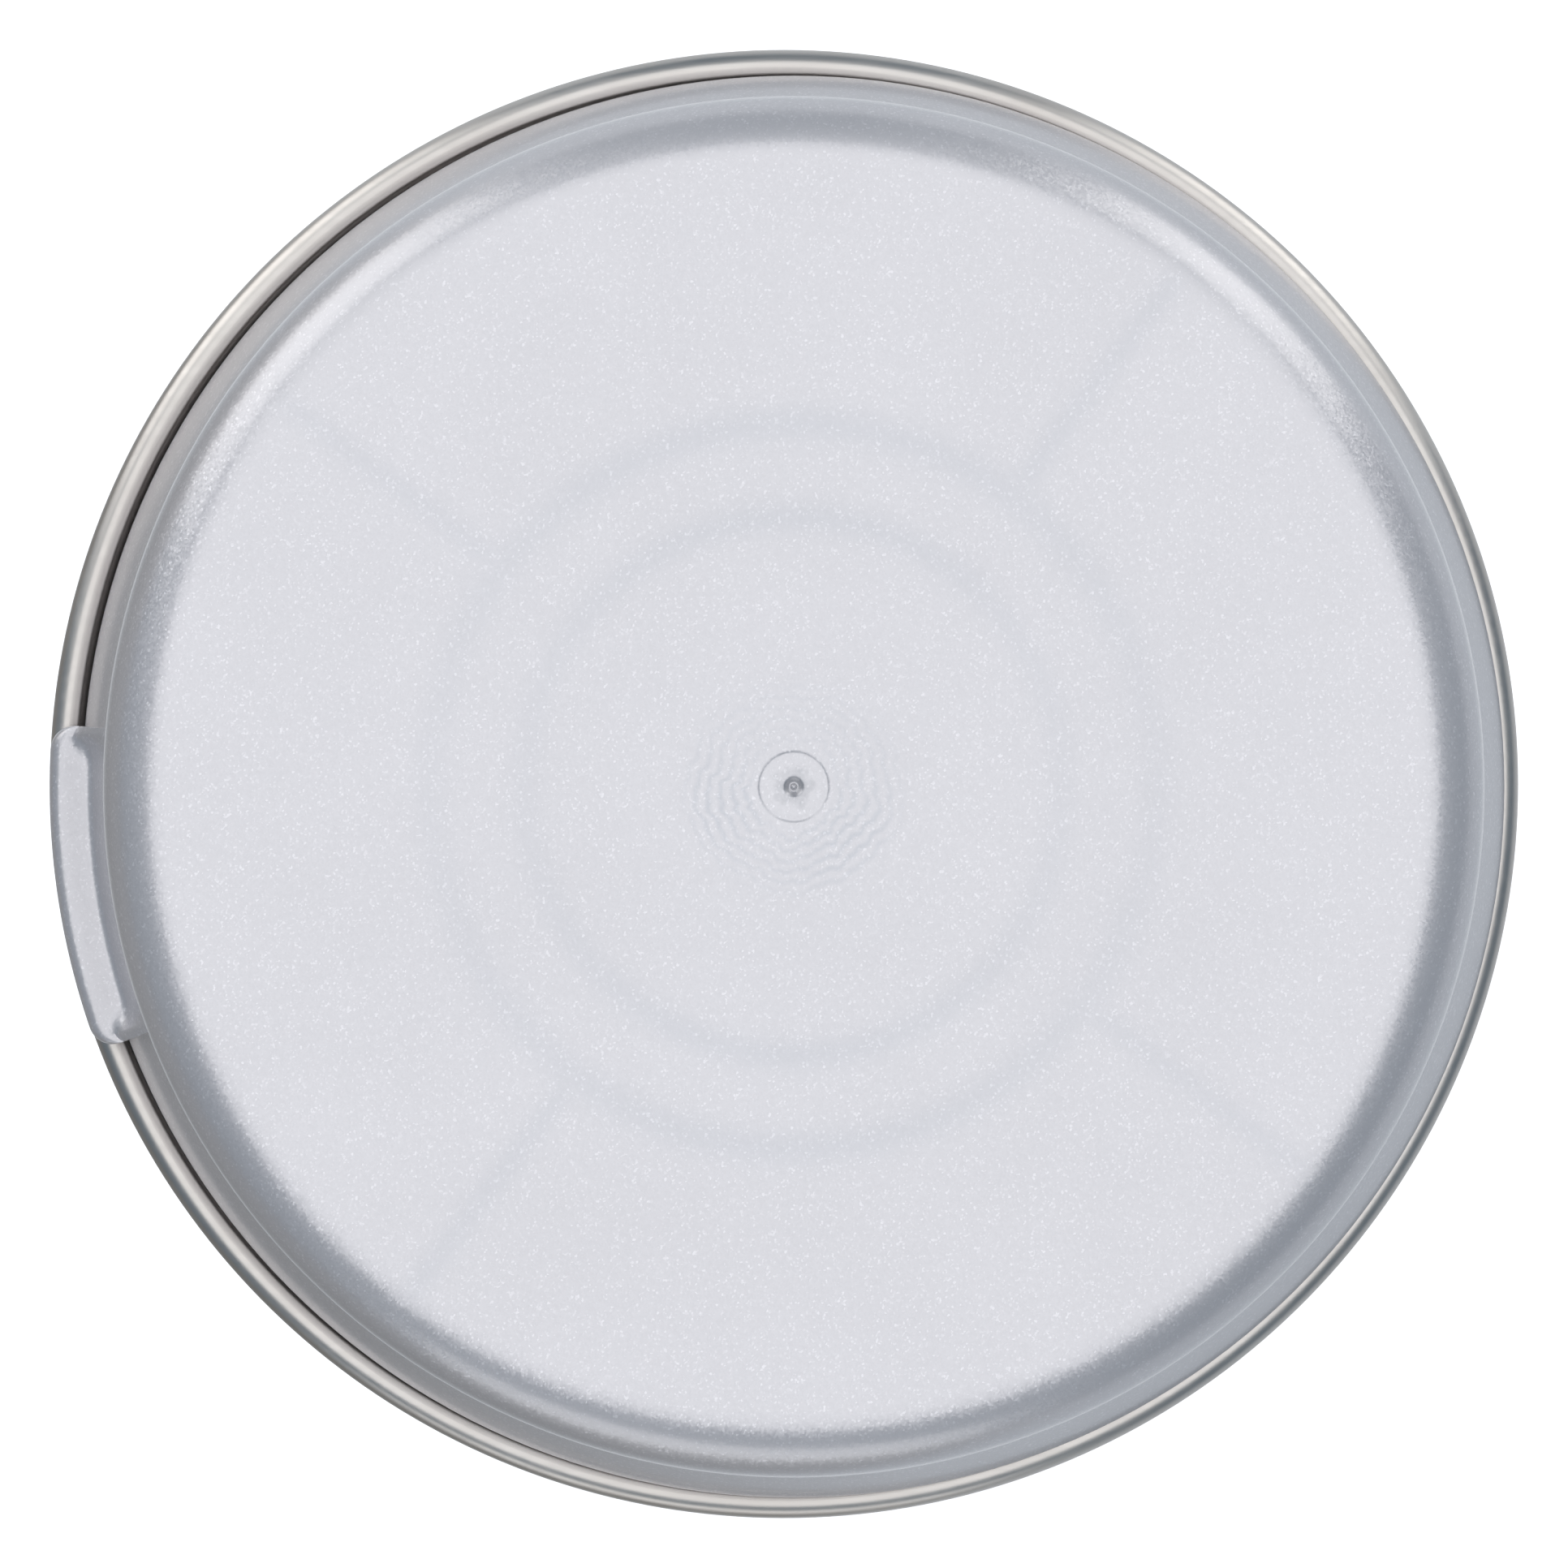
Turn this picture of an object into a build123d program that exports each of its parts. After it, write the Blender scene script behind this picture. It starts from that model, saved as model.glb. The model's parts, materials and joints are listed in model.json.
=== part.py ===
from build123d import *

import math
import os

# Aerosol paint can. A welded tinplate body is closed by a domed top and a concave bottom, both double
# seamed on. A one-inch valve is crimped into the dome, with its dip tube, spring, stem and spray button.
# A steel ball lies loose inside, and a moulded overcap sits loosely on the upper rim.
# Millimetres, +Z up, origin at the centre of the base. The nozzle sprays towards -Y.
# Sheet-metal outlines are given on the sheet's mid line, and so are their bend radii.

# %% Driving sizes: can shell
CAN_HEIGHT = 158.8
BODY_OUTER_R = 32.95
BODY_SHEET = 0.22
END_SHEET = 0.34
WELD_WIDTH = 0.8
WELD_HEIGHT = 0.06
WELD_END_MARGIN = 0.6

# %% Driving sizes: double seams
SEAM_HEIGHT = 3.1
SEAM_LAYER_GAP = 0.02
SEAM_RIM_BEND = 0.45
HOOK_BEND = 0.26
BODY_HOOK_CLEARANCE = 0.39
COVER_HOOK_LENGTH = 2.03
SEALANT_HEIGHT = 0.28

# %% Driving sizes: domed top and its curl
COUNTERSINK_DEPTH = 4.6
COUNTERSINK_WIDTH = 2.74
COUNTERSINK_BEND = 0.9
SHOULDER_INSET = 1.2
SHOULDER_RISE = 3.0
SHOULDER_BEND = 12.0
DOME_HEIGHT = 22.8
DOME_CONE_WIDTH = 9.0
DOME_CONE_DROP = 6.77
DOME_BEND = 20.0
NECK_R = 12.87
NECK_LENGTH = 4.0
NECK_BEND = 1.5
CURL_WIDTH = 2.56
CURL_BEND = 1.2
CURL_SKIRT = 2.5
CURL_TUCK = 1.43
CURL_TUCK_BEND = 0.9

# %% Driving sizes: concave bottom
BOTTOM_WALL_HEIGHT = 4.6
BOTTOM_WALL_BEND = 1.2
BOTTOM_RAMP_WIDTH = 5.54
BOTTOM_RAMP_RISE = 1.4
BOTTOM_RAMP_BEND = 12.0
BOTTOM_CONE_WIDTH = 14.0
BOTTOM_CONE_RISE = 6.5
BOTTOM_CROWN_BEND = 30.0

# %% Driving sizes: valve cup, gaskets and valve
CUP_SHEET = 0.28
CUP_GASKET = 0.2
CUP_LAYER_GAP = 0.04
CUP_GASKET_LEG = 2.0
CUP_LIP = 2.2
CRIMP_TOP_DEPTH = 3.6
CRIMP_DEPTH = 5.0
CRIMP_END_DEPTH = 6.2
CRIMP_BULGE = 0.77
CRIMP_BEND = 0.6
CUP_DEPTH = 7.8
CUP_WALL_INSET = 0.38
CUP_FLOOR_BEND = 0.9
PEDESTAL_R = 4.92
PEDESTAL_FOOT = 0.5
PEDESTAL_FOOT_BEND = 1.0
PEDESTAL_RISE = 1.6
PEDESTAL_TOP_BEND = 0.4
PEDESTAL_HOLE_CLEARANCE = 0.27
PINCH_DEPTH = 0.57
PINCH_HALF_HEIGHT = 0.65
PINCH_BEND = 0.3
PINCH_BELOW_FLANGE = 0.87
PEDESTAL_FIT = 0.13
FACE_GAP = 0.02
STEM_GASKET_THICKNESS = 1.0
STEM_R = 1.98
STEM_BORE_R = 0.9
STEM_FIT = 0.05
STEM_COLLAR_R = 3.0
STEM_COLLAR_HEIGHT = 1.2
STEM_SPIGOT_R = 1.2
STEM_SPIGOT_LENGTH = 2.5
STEM_STICK_OUT = 6.4
STEM_ORIFICE_R = 0.35
VALVE_CHAMBER_FIT = 0.1
HOUSING_WALL = 0.9
HOUSING_FLANGE_HEIGHT = 1.2
HOUSING_FLOOR = 1.6
TAILPIECE_LENGTH = 7.0
TAILPIECE_BORE_R = 0.8
SPRING_LENGTH = 6.0
SPRING_WIRE_R = 0.2
SPRING_FIT = 0.6
SPRING_TURNS = 5

# %% Driving sizes: dip tube and agitator ball
DIP_TUBE_R = 2.0
DIP_TUBE_WALL = 0.5
DIP_TUBE_FIT = 0.05
DIP_TUBE_STRAIGHT = 1.0
DIP_TUBE_END_CLEARANCE = 7.2
DIP_TUBE_END_LIFT = 3.0
BALL_R = 5.5
BALL_WALL_GAP = 0.06
BALL_FLOOR_GAP = 0.06

# %% Driving sizes: spray button and nozzle
BUTTON_BASE_R = 7.2
BUTTON_TOP_R = 6.7
BUTTON_CLEARANCE = 2.7
BUTTON_HEIGHT = 8.4
BUTTON_TOP_BEND = 0.9
BUTTON_WALL = 1.1
BUTTON_SKIRT_DEPTH = 2.4
BUTTON_DISH_R = 14.0
BUTTON_DISH_DEPTH = 1.4
BUTTON_DISH_BACK = 1.0
SOCKET_POST_R = 3.5
SOCKET_LEAD = 0.2
SOCKET_FIT = 0.02
NOZZLE_HEIGHT = 5.0
NOZZLE_CHANNEL_R = 0.8
NOZZLE_R = 2.2
NOZZLE_LENGTH = 2.5
NOZZLE_INSET = 0.7
NOZZLE_SWIRL_R = 1.1
NOZZLE_SWIRL_DEPTH = 0.6
NOZZLE_ORIFICE_R = 0.25
NOZZLE_FIT = 0.02
NOZZLE_WINDOW_R = 2.9

# %% Driving sizes: overcap
CAP_HEADROOM = 4.26
CAP_WALL = 1.1
CAP_TOP_THICKNESS = 1.3
CAP_DRAFT = 1.0
CAP_FLARE_HEIGHT = 4.4
CAP_FLARE_WIDTH = 1.6
CAP_FLARE_BEND = 2.0
CAP_EDGE_R = 3.0
CAP_INNER_EDGE_R = 1.8
CAP_PLUG_PLAY = 0.52
CAP_PLUG_THICKNESS = 0.9
CAP_PLUG_DEPTH = 2.5
CAP_PLUG_ROOT = 1.5
CAP_SEAT_WIDTH = 1.0
CAP_SEAT_GAP = 0.02
CAP_REST_GAP = 0.08
CAP_SHIFT_ANGLE = -16.0
CAP_TUBE_CLEARANCE = 0.1
CAP_TUBE_WALL = 0.8
CAP_TUBE_DRAFT = 3.5
CAP_TUBE_REACH = 1.4
CAP_BEAD_CLEARANCE = 0.06
CAP_BEAD_BELOW_LIP = 0.8
CAP_BEAD_HALF_HEIGHT = 0.5
CAP_RING_R = 11.9
CAP_RING_WALL = 0.8
CAP_RING_DEPTH = 5.0
CAP_RIB_COUNT = 4
CAP_RIB_THICKNESS = 0.8
CAP_RIB_DEPTH = 10.0
CAP_LUG_HEIGHT = 6.0
CAP_LUG_REACH = 0.9
TAB_ANGLE = 188.0
TAB_HALF_SPAN = 12.9
TAB_OVERHANG = 0.39
TAB_THICKNESS = 1.2
TAB_UNDERCUT = 0.3
TAB_CORNER_R = 1.0
TAB_GUSSET_HEIGHT = 2.4
TAB_GUSSET_THICKNESS = 0.9
GATE_R = 1.5
GATE_DEPTH = 0.12
GATE_NUB_R = 0.6
GATE_NUB_HEIGHT = 0.08
EMBED = 0.4

# %% Derived seam radii, from the innermost layer to the outermost
chuck_r = BODY_OUTER_R - BODY_SHEET - SEAM_LAYER_GAP - END_SHEET / 2
body_r = BODY_OUTER_R - BODY_SHEET / 2
cover_hook_r = BODY_OUTER_R + SEAM_LAYER_GAP + END_SHEET / 2
body_hook_r = cover_hook_r + END_SHEET / 2 + SEAM_LAYER_GAP + BODY_SHEET / 2
seam_wall_r = body_hook_r + BODY_SHEET / 2 + SEAM_LAYER_GAP + END_SHEET / 2
seam_outer_r = seam_wall_r + END_SHEET / 2
recess_r = chuck_r - END_SHEET / 2
can_inner_r = BODY_OUTER_R - BODY_SHEET

# %% Derived seam depths, measured into the can from either rim
flange_depth = END_SHEET + SEAM_LAYER_GAP + BODY_SHEET / 2
hook_turn_depth = SEAM_HEIGHT - END_SHEET / 2
cover_hook_tip_depth = hook_turn_depth - COVER_HOOK_LENGTH
body_hook_tip_depth = SEAM_HEIGHT - END_SHEET - BODY_HOOK_CLEARANCE

# %% Derived valve heights
curl_z = CAN_HEIGHT + DOME_HEIGHT
cup_offset = END_SHEET / 2 + CUP_LAYER_GAP + CUP_GASKET + CUP_LAYER_GAP + CUP_SHEET / 2
cup_gasket_offset = END_SHEET / 2 + CUP_LAYER_GAP + CUP_GASKET / 2
cup_rim_r = NECK_R + CURL_WIDTH + cup_offset + CUP_SHEET / 2
cup_top_z = curl_z + cup_offset + CUP_SHEET / 2
pedestal_z = curl_z + PEDESTAL_RISE
pedestal_top_z = pedestal_z + CUP_SHEET / 2
gasket_top_z = pedestal_z - CUP_SHEET / 2 - FACE_GAP
gasket_bottom_z = gasket_top_z - STEM_GASKET_THICKNESS
flange_top_z = gasket_bottom_z - FACE_GAP
flange_bottom_z = flange_top_z - HOUSING_FLANGE_HEIGHT
flange_r = PEDESTAL_R - CUP_SHEET / 2 - PEDESTAL_FIT
chamber_r = STEM_COLLAR_R + VALVE_CHAMBER_FIT
collar_top_z = flange_top_z
collar_bottom_z = collar_top_z - STEM_COLLAR_HEIGHT
chamber_floor_z = collar_bottom_z - SPRING_LENGTH - 2 * FACE_GAP
housing_bottom_z = chamber_floor_z - HOUSING_FLOOR
tailpiece_bottom_z = housing_bottom_z - TAILPIECE_LENGTH
stem_top_z = pedestal_top_z + STEM_STICK_OUT
orifice_z = (gasket_top_z + gasket_bottom_z) / 2
button_z = pedestal_top_z + BUTTON_CLEARANCE
button_top_z = button_z + BUTTON_HEIGHT
nozzle_z = button_z + NOZZLE_HEIGHT
button_draft = (BUTTON_BASE_R - BUTTON_TOP_R) / BUTTON_HEIGHT

# %% Derived overcap places
cap_seat_z = CAN_HEIGHT + CAP_SEAT_GAP
cap_plate_z = button_top_z + CAP_HEADROOM
cap_top_z = cap_plate_z + CAP_TOP_THICKNESS
cap_plug_r = recess_r - CAP_PLUG_PLAY
cap_base_r = cap_plug_r + CAP_SEAT_WIDTH
cap_slope = math.tan(math.radians(CAP_DRAFT))
cap_flare_z = cap_seat_z + CAP_FLARE_HEIGHT
cap_flare_r = cap_base_r - CAP_FLARE_WIDTH
cap_top_r = cap_flare_r - (cap_top_z - cap_flare_z) * cap_slope
tube_slope = math.tan(math.radians(CAP_TUBE_DRAFT))
tube_bottom_z = curl_z - CUP_LIP - CAP_TUBE_REACH
cap_play = CAP_PLUG_PLAY - CAP_REST_GAP
cap_shift = Vector(cap_play, 0, 0).rotate(Axis.Z, CAP_SHIFT_ANGLE)
tab_outer_r = seam_outer_r + TAB_OVERHANG
rib_angles = [TAB_ANGLE + 360 * (i + 0.5) / CAP_RIB_COUNT for i in range(CAP_RIB_COUNT)]


# %% Helpers
def turned(outline):
    """Full turn about Z of a closed outline in radius and height."""
    return revolve(Plane.XZ * make_face(outline), Axis.Z)


def turned_ring(inner_r, outer_r, low_z, high_z):
    """Ring of rectangular section, or a plain disc when inner_r is 0."""
    corners = [(inner_r, low_z), (outer_r, low_z), (outer_r, high_z), (inner_r, high_z)]
    return turned(Polyline(*corners, close=True))


def round_bar(radius, length):
    """Cylinder that stands on the origin, along +Z."""
    return Cylinder(radius, length, align=(Align.CENTER, Align.CENTER, Align.MIN))


def folded_sheet(path, bends, sheet):
    """Turned sheet of even thickness about a mid line of straight runs and round bends."""
    points = [Vector(*point) for point in path]
    runs = [(b - a).normalized() for a, b in zip(points, points[1:])]
    sides = [Vector(-run.Y, run.X) for run in runs]
    mitres = [sides[0]]
    mitres += [(a + b) / (1 + a.dot(b)) for a, b in zip(sides, sides[1:])]
    mitres += [sides[-1]]
    half = sheet / 2
    left = [point + mitre * half for point, mitre in zip(points, mitres)]
    right = [point - mitre * half for point, mitre in zip(points, mitres)]
    turns = [math.copysign(1, a.cross(b).Z) for a, b in zip(runs, runs[1:])]
    left_bends = [bend - turn * half for bend, turn in zip(bends, turns)]
    right_bends = [bend + turn * half for bend, turn in zip(bends, turns)]
    outline = FilletPolyline(
        *left,
        *reversed(right),
        radius=[0, *left_bends, 0, 0, *reversed(right_bends), 0],
        close=True,
    )
    return turned(outline)


def seamed_end(inner_path, inner_bends, to_height):
    """Can end: its hook, seam wall and chuck wall, then its own panel. Depths become heights at the last."""
    seam_path = [
        (cover_hook_r, cover_hook_tip_depth),
        (cover_hook_r, hook_turn_depth),
        (seam_wall_r, hook_turn_depth),
        (seam_wall_r, END_SHEET / 2),
        (chuck_r, END_SHEET / 2),
    ]
    seam_bends = [HOOK_BEND, HOOK_BEND, SEAM_RIM_BEND, SEAM_RIM_BEND]
    path = [(radius, to_height(depth)) for radius, depth in seam_path + inner_path]
    return folded_sheet(path, seam_bends + inner_bends, END_SHEET)


def from_top(depth):
    return CAN_HEIGHT - depth


def from_bottom(depth):
    return depth


# %% Can shell
def can_body():
    """Welded cylinder with an outward hook at each end and the raised weld down its back."""
    path = [
        (body_hook_r, body_hook_tip_depth),
        (body_hook_r, flange_depth),
        (body_r, flange_depth),
        (body_r, CAN_HEIGHT - flange_depth),
        (body_hook_r, CAN_HEIGHT - flange_depth),
        (body_hook_r, CAN_HEIGHT - body_hook_tip_depth),
    ]
    shell = folded_sheet(path, [HOOK_BEND] * 4, BODY_SHEET)
    weld_depth = BODY_SHEET / 2 + WELD_HEIGHT
    weld_length = CAN_HEIGHT - 2 * (SEAM_HEIGHT + WELD_END_MARGIN)
    weld = Pos(0, BODY_OUTER_R + WELD_HEIGHT - weld_depth / 2, CAN_HEIGHT / 2)
    return shell + weld * Box(WELD_WIDTH, weld_depth, weld_length)


def can_dome():
    """Domed top: countersink, shoulder, dome and the curl that carries the valve cup."""
    countersink_r = chuck_r - COUNTERSINK_WIDTH
    neck_depth = NECK_LENGTH - DOME_HEIGHT
    curl_r = NECK_R + CURL_WIDTH
    path = [
        (chuck_r, COUNTERSINK_DEPTH),
        (countersink_r, COUNTERSINK_DEPTH),
        (countersink_r - SHOULDER_INSET, -SHOULDER_RISE),
        (NECK_R + DOME_CONE_WIDTH, neck_depth + DOME_CONE_DROP),
        (NECK_R, neck_depth),
        (NECK_R, -DOME_HEIGHT),
        (curl_r, -DOME_HEIGHT),
        (curl_r, CURL_SKIRT - DOME_HEIGHT),
        (curl_r - CURL_TUCK, CURL_SKIRT - DOME_HEIGHT),
    ]
    bends = [COUNTERSINK_BEND, COUNTERSINK_BEND, SHOULDER_BEND, DOME_BEND, NECK_BEND]
    bends += [CURL_BEND, CURL_BEND, CURL_TUCK_BEND]
    return seamed_end(path, bends, from_top)


bottom_ramp_r = chuck_r - BOTTOM_RAMP_WIDTH
bottom_ramp_z = BOTTOM_WALL_HEIGHT + BOTTOM_RAMP_RISE
bottom_cone_angle = math.atan2(BOTTOM_CONE_RISE, BOTTOM_CONE_WIDTH)


def can_bottom():
    """Concave bottom: a ramp and a cone that rise from the chuck wall to a flat crown."""
    cone_top = (bottom_ramp_r - BOTTOM_CONE_WIDTH, bottom_ramp_z + BOTTOM_CONE_RISE)
    path = [(chuck_r, BOTTOM_WALL_HEIGHT), (bottom_ramp_r, bottom_ramp_z), cone_top, (0, cone_top[1])]
    bends = [BOTTOM_WALL_BEND, BOTTOM_RAMP_BEND, BOTTOM_CROWN_BEND]
    return seamed_end(path, bends, from_bottom)


def seam_sealant(to_height):
    """Ring of sealing compound in the end's hook, under the tip of the body's hook."""
    near_depth = body_hook_tip_depth + SEAM_LAYER_GAP
    low_z, high_z = sorted([to_height(near_depth), to_height(near_depth + SEALANT_HEIGHT)])
    half_width = BODY_SHEET / 2 - SEAM_LAYER_GAP / 2
    return turned_ring(body_hook_r - half_width, body_hook_r + half_width, low_z, high_z)


# %% Valve cup and gaskets
def over_curl(offset):
    """The curl's mid line and bends, moved outwards by an offset: inner corner first."""
    corners = [(NECK_R - offset, curl_z + offset), (NECK_R + CURL_WIDTH + offset, curl_z + offset)]
    return corners, [CURL_BEND + offset] * 2


def cup_gasket():
    """Sleeve gasket between the curl and the valve cup."""
    (inner, outer), bends = over_curl(cup_gasket_offset)
    leg_z = curl_z - CUP_GASKET_LEG
    return folded_sheet([(inner[0], leg_z), inner, outer, (outer[0], leg_z)], bends, CUP_GASKET)


def mounting_cup():
    """Valve cup: lip over the curl, crimped wall, floor, and the pedestal that grips the valve housing."""
    (inner, outer), bends = over_curl(cup_offset)
    floor_z = curl_z - CUP_DEPTH
    wall_r = inner[0] - CUP_WALL_INSET
    pinch_z = flange_bottom_z - PINCH_BELOW_FLANGE
    path = [
        (outer[0], curl_z - CUP_LIP),
        outer,
        inner,
        (inner[0], curl_z - CRIMP_TOP_DEPTH),
        (inner[0] + CRIMP_BULGE, curl_z - CRIMP_DEPTH),
        (wall_r, curl_z - CRIMP_END_DEPTH),
        (wall_r, floor_z),
        (PEDESTAL_R + PEDESTAL_FOOT, floor_z),
        (PEDESTAL_R, pinch_z - PINCH_HALF_HEIGHT),
        (PEDESTAL_R - PINCH_DEPTH, pinch_z),
        (PEDESTAL_R, pinch_z + PINCH_HALF_HEIGHT),
        (PEDESTAL_R, pedestal_z),
        (STEM_R + PEDESTAL_HOLE_CLEARANCE, pedestal_z),
    ]
    bends += [CRIMP_BEND] * 3 + [CUP_FLOOR_BEND, PEDESTAL_FOOT_BEND]
    bends += [PINCH_BEND] * 3 + [PEDESTAL_TOP_BEND]
    return folded_sheet(path, bends, CUP_SHEET)


def stem_gasket():
    """Flat rubber washer that closes the stem's orifice at rest."""
    return turned_ring(STEM_R + STEM_FIT, flange_r, gasket_bottom_z, gasket_top_z)


# %% Valve
def valve_housing():
    """Cup-shaped housing: flange under the gasket, spring chamber and the tailpiece for the dip tube."""
    body_outer_r = chamber_r + HOUSING_WALL
    tail_r = DIP_TUBE_R - DIP_TUBE_WALL - DIP_TUBE_FIT
    outline = Polyline(
        (chamber_r, flange_top_z),
        (flange_r, flange_top_z),
        (flange_r, flange_bottom_z),
        (body_outer_r, flange_bottom_z),
        (body_outer_r, housing_bottom_z),
        (tail_r, housing_bottom_z),
        (tail_r, tailpiece_bottom_z),
        (TAILPIECE_BORE_R, tailpiece_bottom_z),
        (TAILPIECE_BORE_R, chamber_floor_z),
        (chamber_r, chamber_floor_z),
        close=True,
    )
    return turned(outline)


def valve_spring():
    """Compression spring between the chamber's floor and the stem's collar."""
    height = SPRING_LENGTH - 2 * SPRING_WIRE_R
    coil_r = STEM_SPIGOT_R + SPRING_FIT + SPRING_WIRE_R
    coil = Helix(pitch=height / SPRING_TURNS, height=height, radius=coil_r)
    wire = Plane(origin=coil @ 0, z_dir=coil % 0) * Circle(SPRING_WIRE_R)
    spring = sweep(wire, path=coil, is_frenet=True)
    return Pos(0, 0, chamber_floor_z + FACE_GAP + SPRING_WIRE_R) * spring


def valve_stem():
    """Hollow stem with its sealing collar, spring spigot and side orifice."""
    spigot_z = collar_bottom_z - STEM_SPIGOT_LENGTH
    bore_floor_z = orifice_z - 2 * STEM_ORIFICE_R
    stem = Pos(0, 0, spigot_z) * round_bar(STEM_SPIGOT_R, STEM_SPIGOT_LENGTH + EMBED)
    stem += Pos(0, 0, collar_bottom_z) * round_bar(STEM_COLLAR_R, STEM_COLLAR_HEIGHT)
    stem += Pos(0, 0, collar_bottom_z) * round_bar(STEM_R, stem_top_z - collar_bottom_z)
    stem -= Pos(0, 0, bore_floor_z) * round_bar(STEM_BORE_R, stem_top_z - bore_floor_z)
    return stem - Pos(0, 0, orifice_z) * Rot(X=90) * round_bar(STEM_ORIFICE_R, STEM_R + EMBED)


def dip_tube():
    """Tube pushed over the tailpiece, then one long curve to the bottom corner under the nozzle."""
    top_z = housing_bottom_z - FACE_GAP
    bend_z = tailpiece_bottom_z - DIP_TUBE_STRAIGHT
    reach = can_inner_r - DIP_TUBE_END_CLEARANCE
    drop = bend_z - bottom_ramp_z - DIP_TUBE_END_LIFT
    turn = 2 * math.atan2(reach, drop)
    bend_r = drop / math.sin(turn)
    section = Pos(0, 0, bend_z) * (Circle(DIP_TUBE_R) - Circle(DIP_TUBE_R - DIP_TUBE_WALL))
    straight = extrude(section, top_z - bend_z)
    bend_axis = Axis((0, -bend_r, bend_z), (-1, 0, 0))
    return straight + revolve(section, bend_axis, revolution_arc=math.degrees(turn))


def agitator_ball():
    """Steel ball at rest in the corner between the body wall and the concave bottom, on the +X side."""
    centre_r = can_inner_r - BALL_WALL_GAP - BALL_R
    stand_off = BALL_R + END_SHEET / 2 + BALL_FLOOR_GAP
    outwards = (centre_r - bottom_ramp_r) * math.sin(bottom_cone_angle)
    centre_z = bottom_ramp_z + (stand_off - outwards) / math.cos(bottom_cone_angle)
    return Pos(centre_r, 0, centre_z) * Sphere(BALL_R)


# %% Spray button and nozzle
nozzle_face_y = BUTTON_BASE_R - NOZZLE_HEIGHT * button_draft - NOZZLE_INSET


def actuator_button():
    """Moulded button: hollow skirt, stem socket, channel, nozzle pocket and a finger dish on top."""
    outline = FilletPolyline(
        (0, button_z),
        (BUTTON_BASE_R, button_z),
        (BUTTON_TOP_R, button_top_z),
        (0, button_top_z),
        radius=[0, 0, BUTTON_TOP_BEND, 0],
        close=True,
    )
    button = turned(outline)
    hollow_r = BUTTON_BASE_R - BUTTON_WALL
    button -= turned_ring(SOCKET_POST_R, hollow_r, button_z, button_z + BUTTON_SKIRT_DEPTH)
    button -= turned_ring(0, SOCKET_POST_R, button_z, button_z + SOCKET_LEAD)
    button -= Pos(0, 0, button_z) * round_bar(STEM_R + SOCKET_FIT, stem_top_z + FACE_GAP - button_z)
    button -= Pos(0, 0, button_z) * round_bar(STEM_BORE_R, nozzle_z - button_z)
    spray_line = Pos(0, 0, nozzle_z) * Rot(X=90)
    button -= spray_line * round_bar(NOZZLE_CHANNEL_R, nozzle_face_y)
    pocket_y = nozzle_face_y - NOZZLE_LENGTH - FACE_GAP
    button -= spray_line * Pos(0, 0, pocket_y) * round_bar(NOZZLE_R + NOZZLE_FIT, BUTTON_BASE_R)
    button -= spray_line * Pos(0, 0, nozzle_face_y) * round_bar(NOZZLE_WINDOW_R, BUTTON_BASE_R)
    dish_z = button_top_z + BUTTON_DISH_R - BUTTON_DISH_DEPTH
    return button - Pos(0, BUTTON_DISH_BACK, dish_z) * Sphere(BUTTON_DISH_R)


def nozzle_insert():
    """Round plug in the button's pocket: swirl chamber behind, spray orifice in front."""
    plug = round_bar(NOZZLE_R, NOZZLE_LENGTH)
    plug -= round_bar(NOZZLE_SWIRL_R, NOZZLE_SWIRL_DEPTH)
    plug -= round_bar(NOZZLE_ORIFICE_R, NOZZLE_LENGTH)
    return Pos(0, 0, nozzle_z) * Rot(X=90) * Pos(0, 0, nozzle_face_y - NOZZLE_LENGTH) * plug


# %% Overcap, in its own frame about its own axis
def cap_shell():
    """Drafted wall on a flared foot, rounded top and the plug lip that drops into the countersink."""
    inner_flare_r = cap_flare_r - CAP_WALL
    inner_top_r = inner_flare_r - (cap_plate_z - cap_flare_z) * cap_slope
    lip_r = cap_plug_r - CAP_PLUG_THICKNESS
    outline = FilletPolyline(
        (0, cap_top_z),
        (cap_top_r, cap_top_z),
        (cap_flare_r, cap_flare_z),
        (cap_base_r, cap_seat_z),
        (cap_plug_r, cap_seat_z),
        (cap_plug_r, cap_seat_z - CAP_PLUG_DEPTH),
        (lip_r, cap_seat_z - CAP_PLUG_DEPTH),
        (lip_r, cap_seat_z + CAP_PLUG_ROOT),
        (inner_flare_r, cap_flare_z),
        (inner_top_r, cap_plate_z),
        (0, cap_plate_z),
        radius=[0, CAP_EDGE_R, CAP_FLARE_BEND, 0, 0, 0, 0, 0, 0, CAP_INNER_EDGE_R, 0],
        close=True,
    )
    return turned(outline)


def cap_envelope():
    """Everything inside the cap's skin above its flare, to trim what stands against the skin."""
    outline = FilletPolyline(
        (0, cap_top_z - EMBED),
        (cap_top_r - EMBED, cap_top_z - EMBED),
        (cap_flare_r - EMBED, cap_flare_z),
        (0, cap_flare_z),
        radius=[0, CAP_EDGE_R - EMBED, 0, 0],
        close=True,
    )
    return turned(outline)


def tube_inner_r(height):
    """Inside radius of the cap's drafted inner tube at a height."""
    return cup_rim_r + cap_play + CAP_TUBE_CLEARANCE + (cup_top_z - height) * tube_slope


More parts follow.
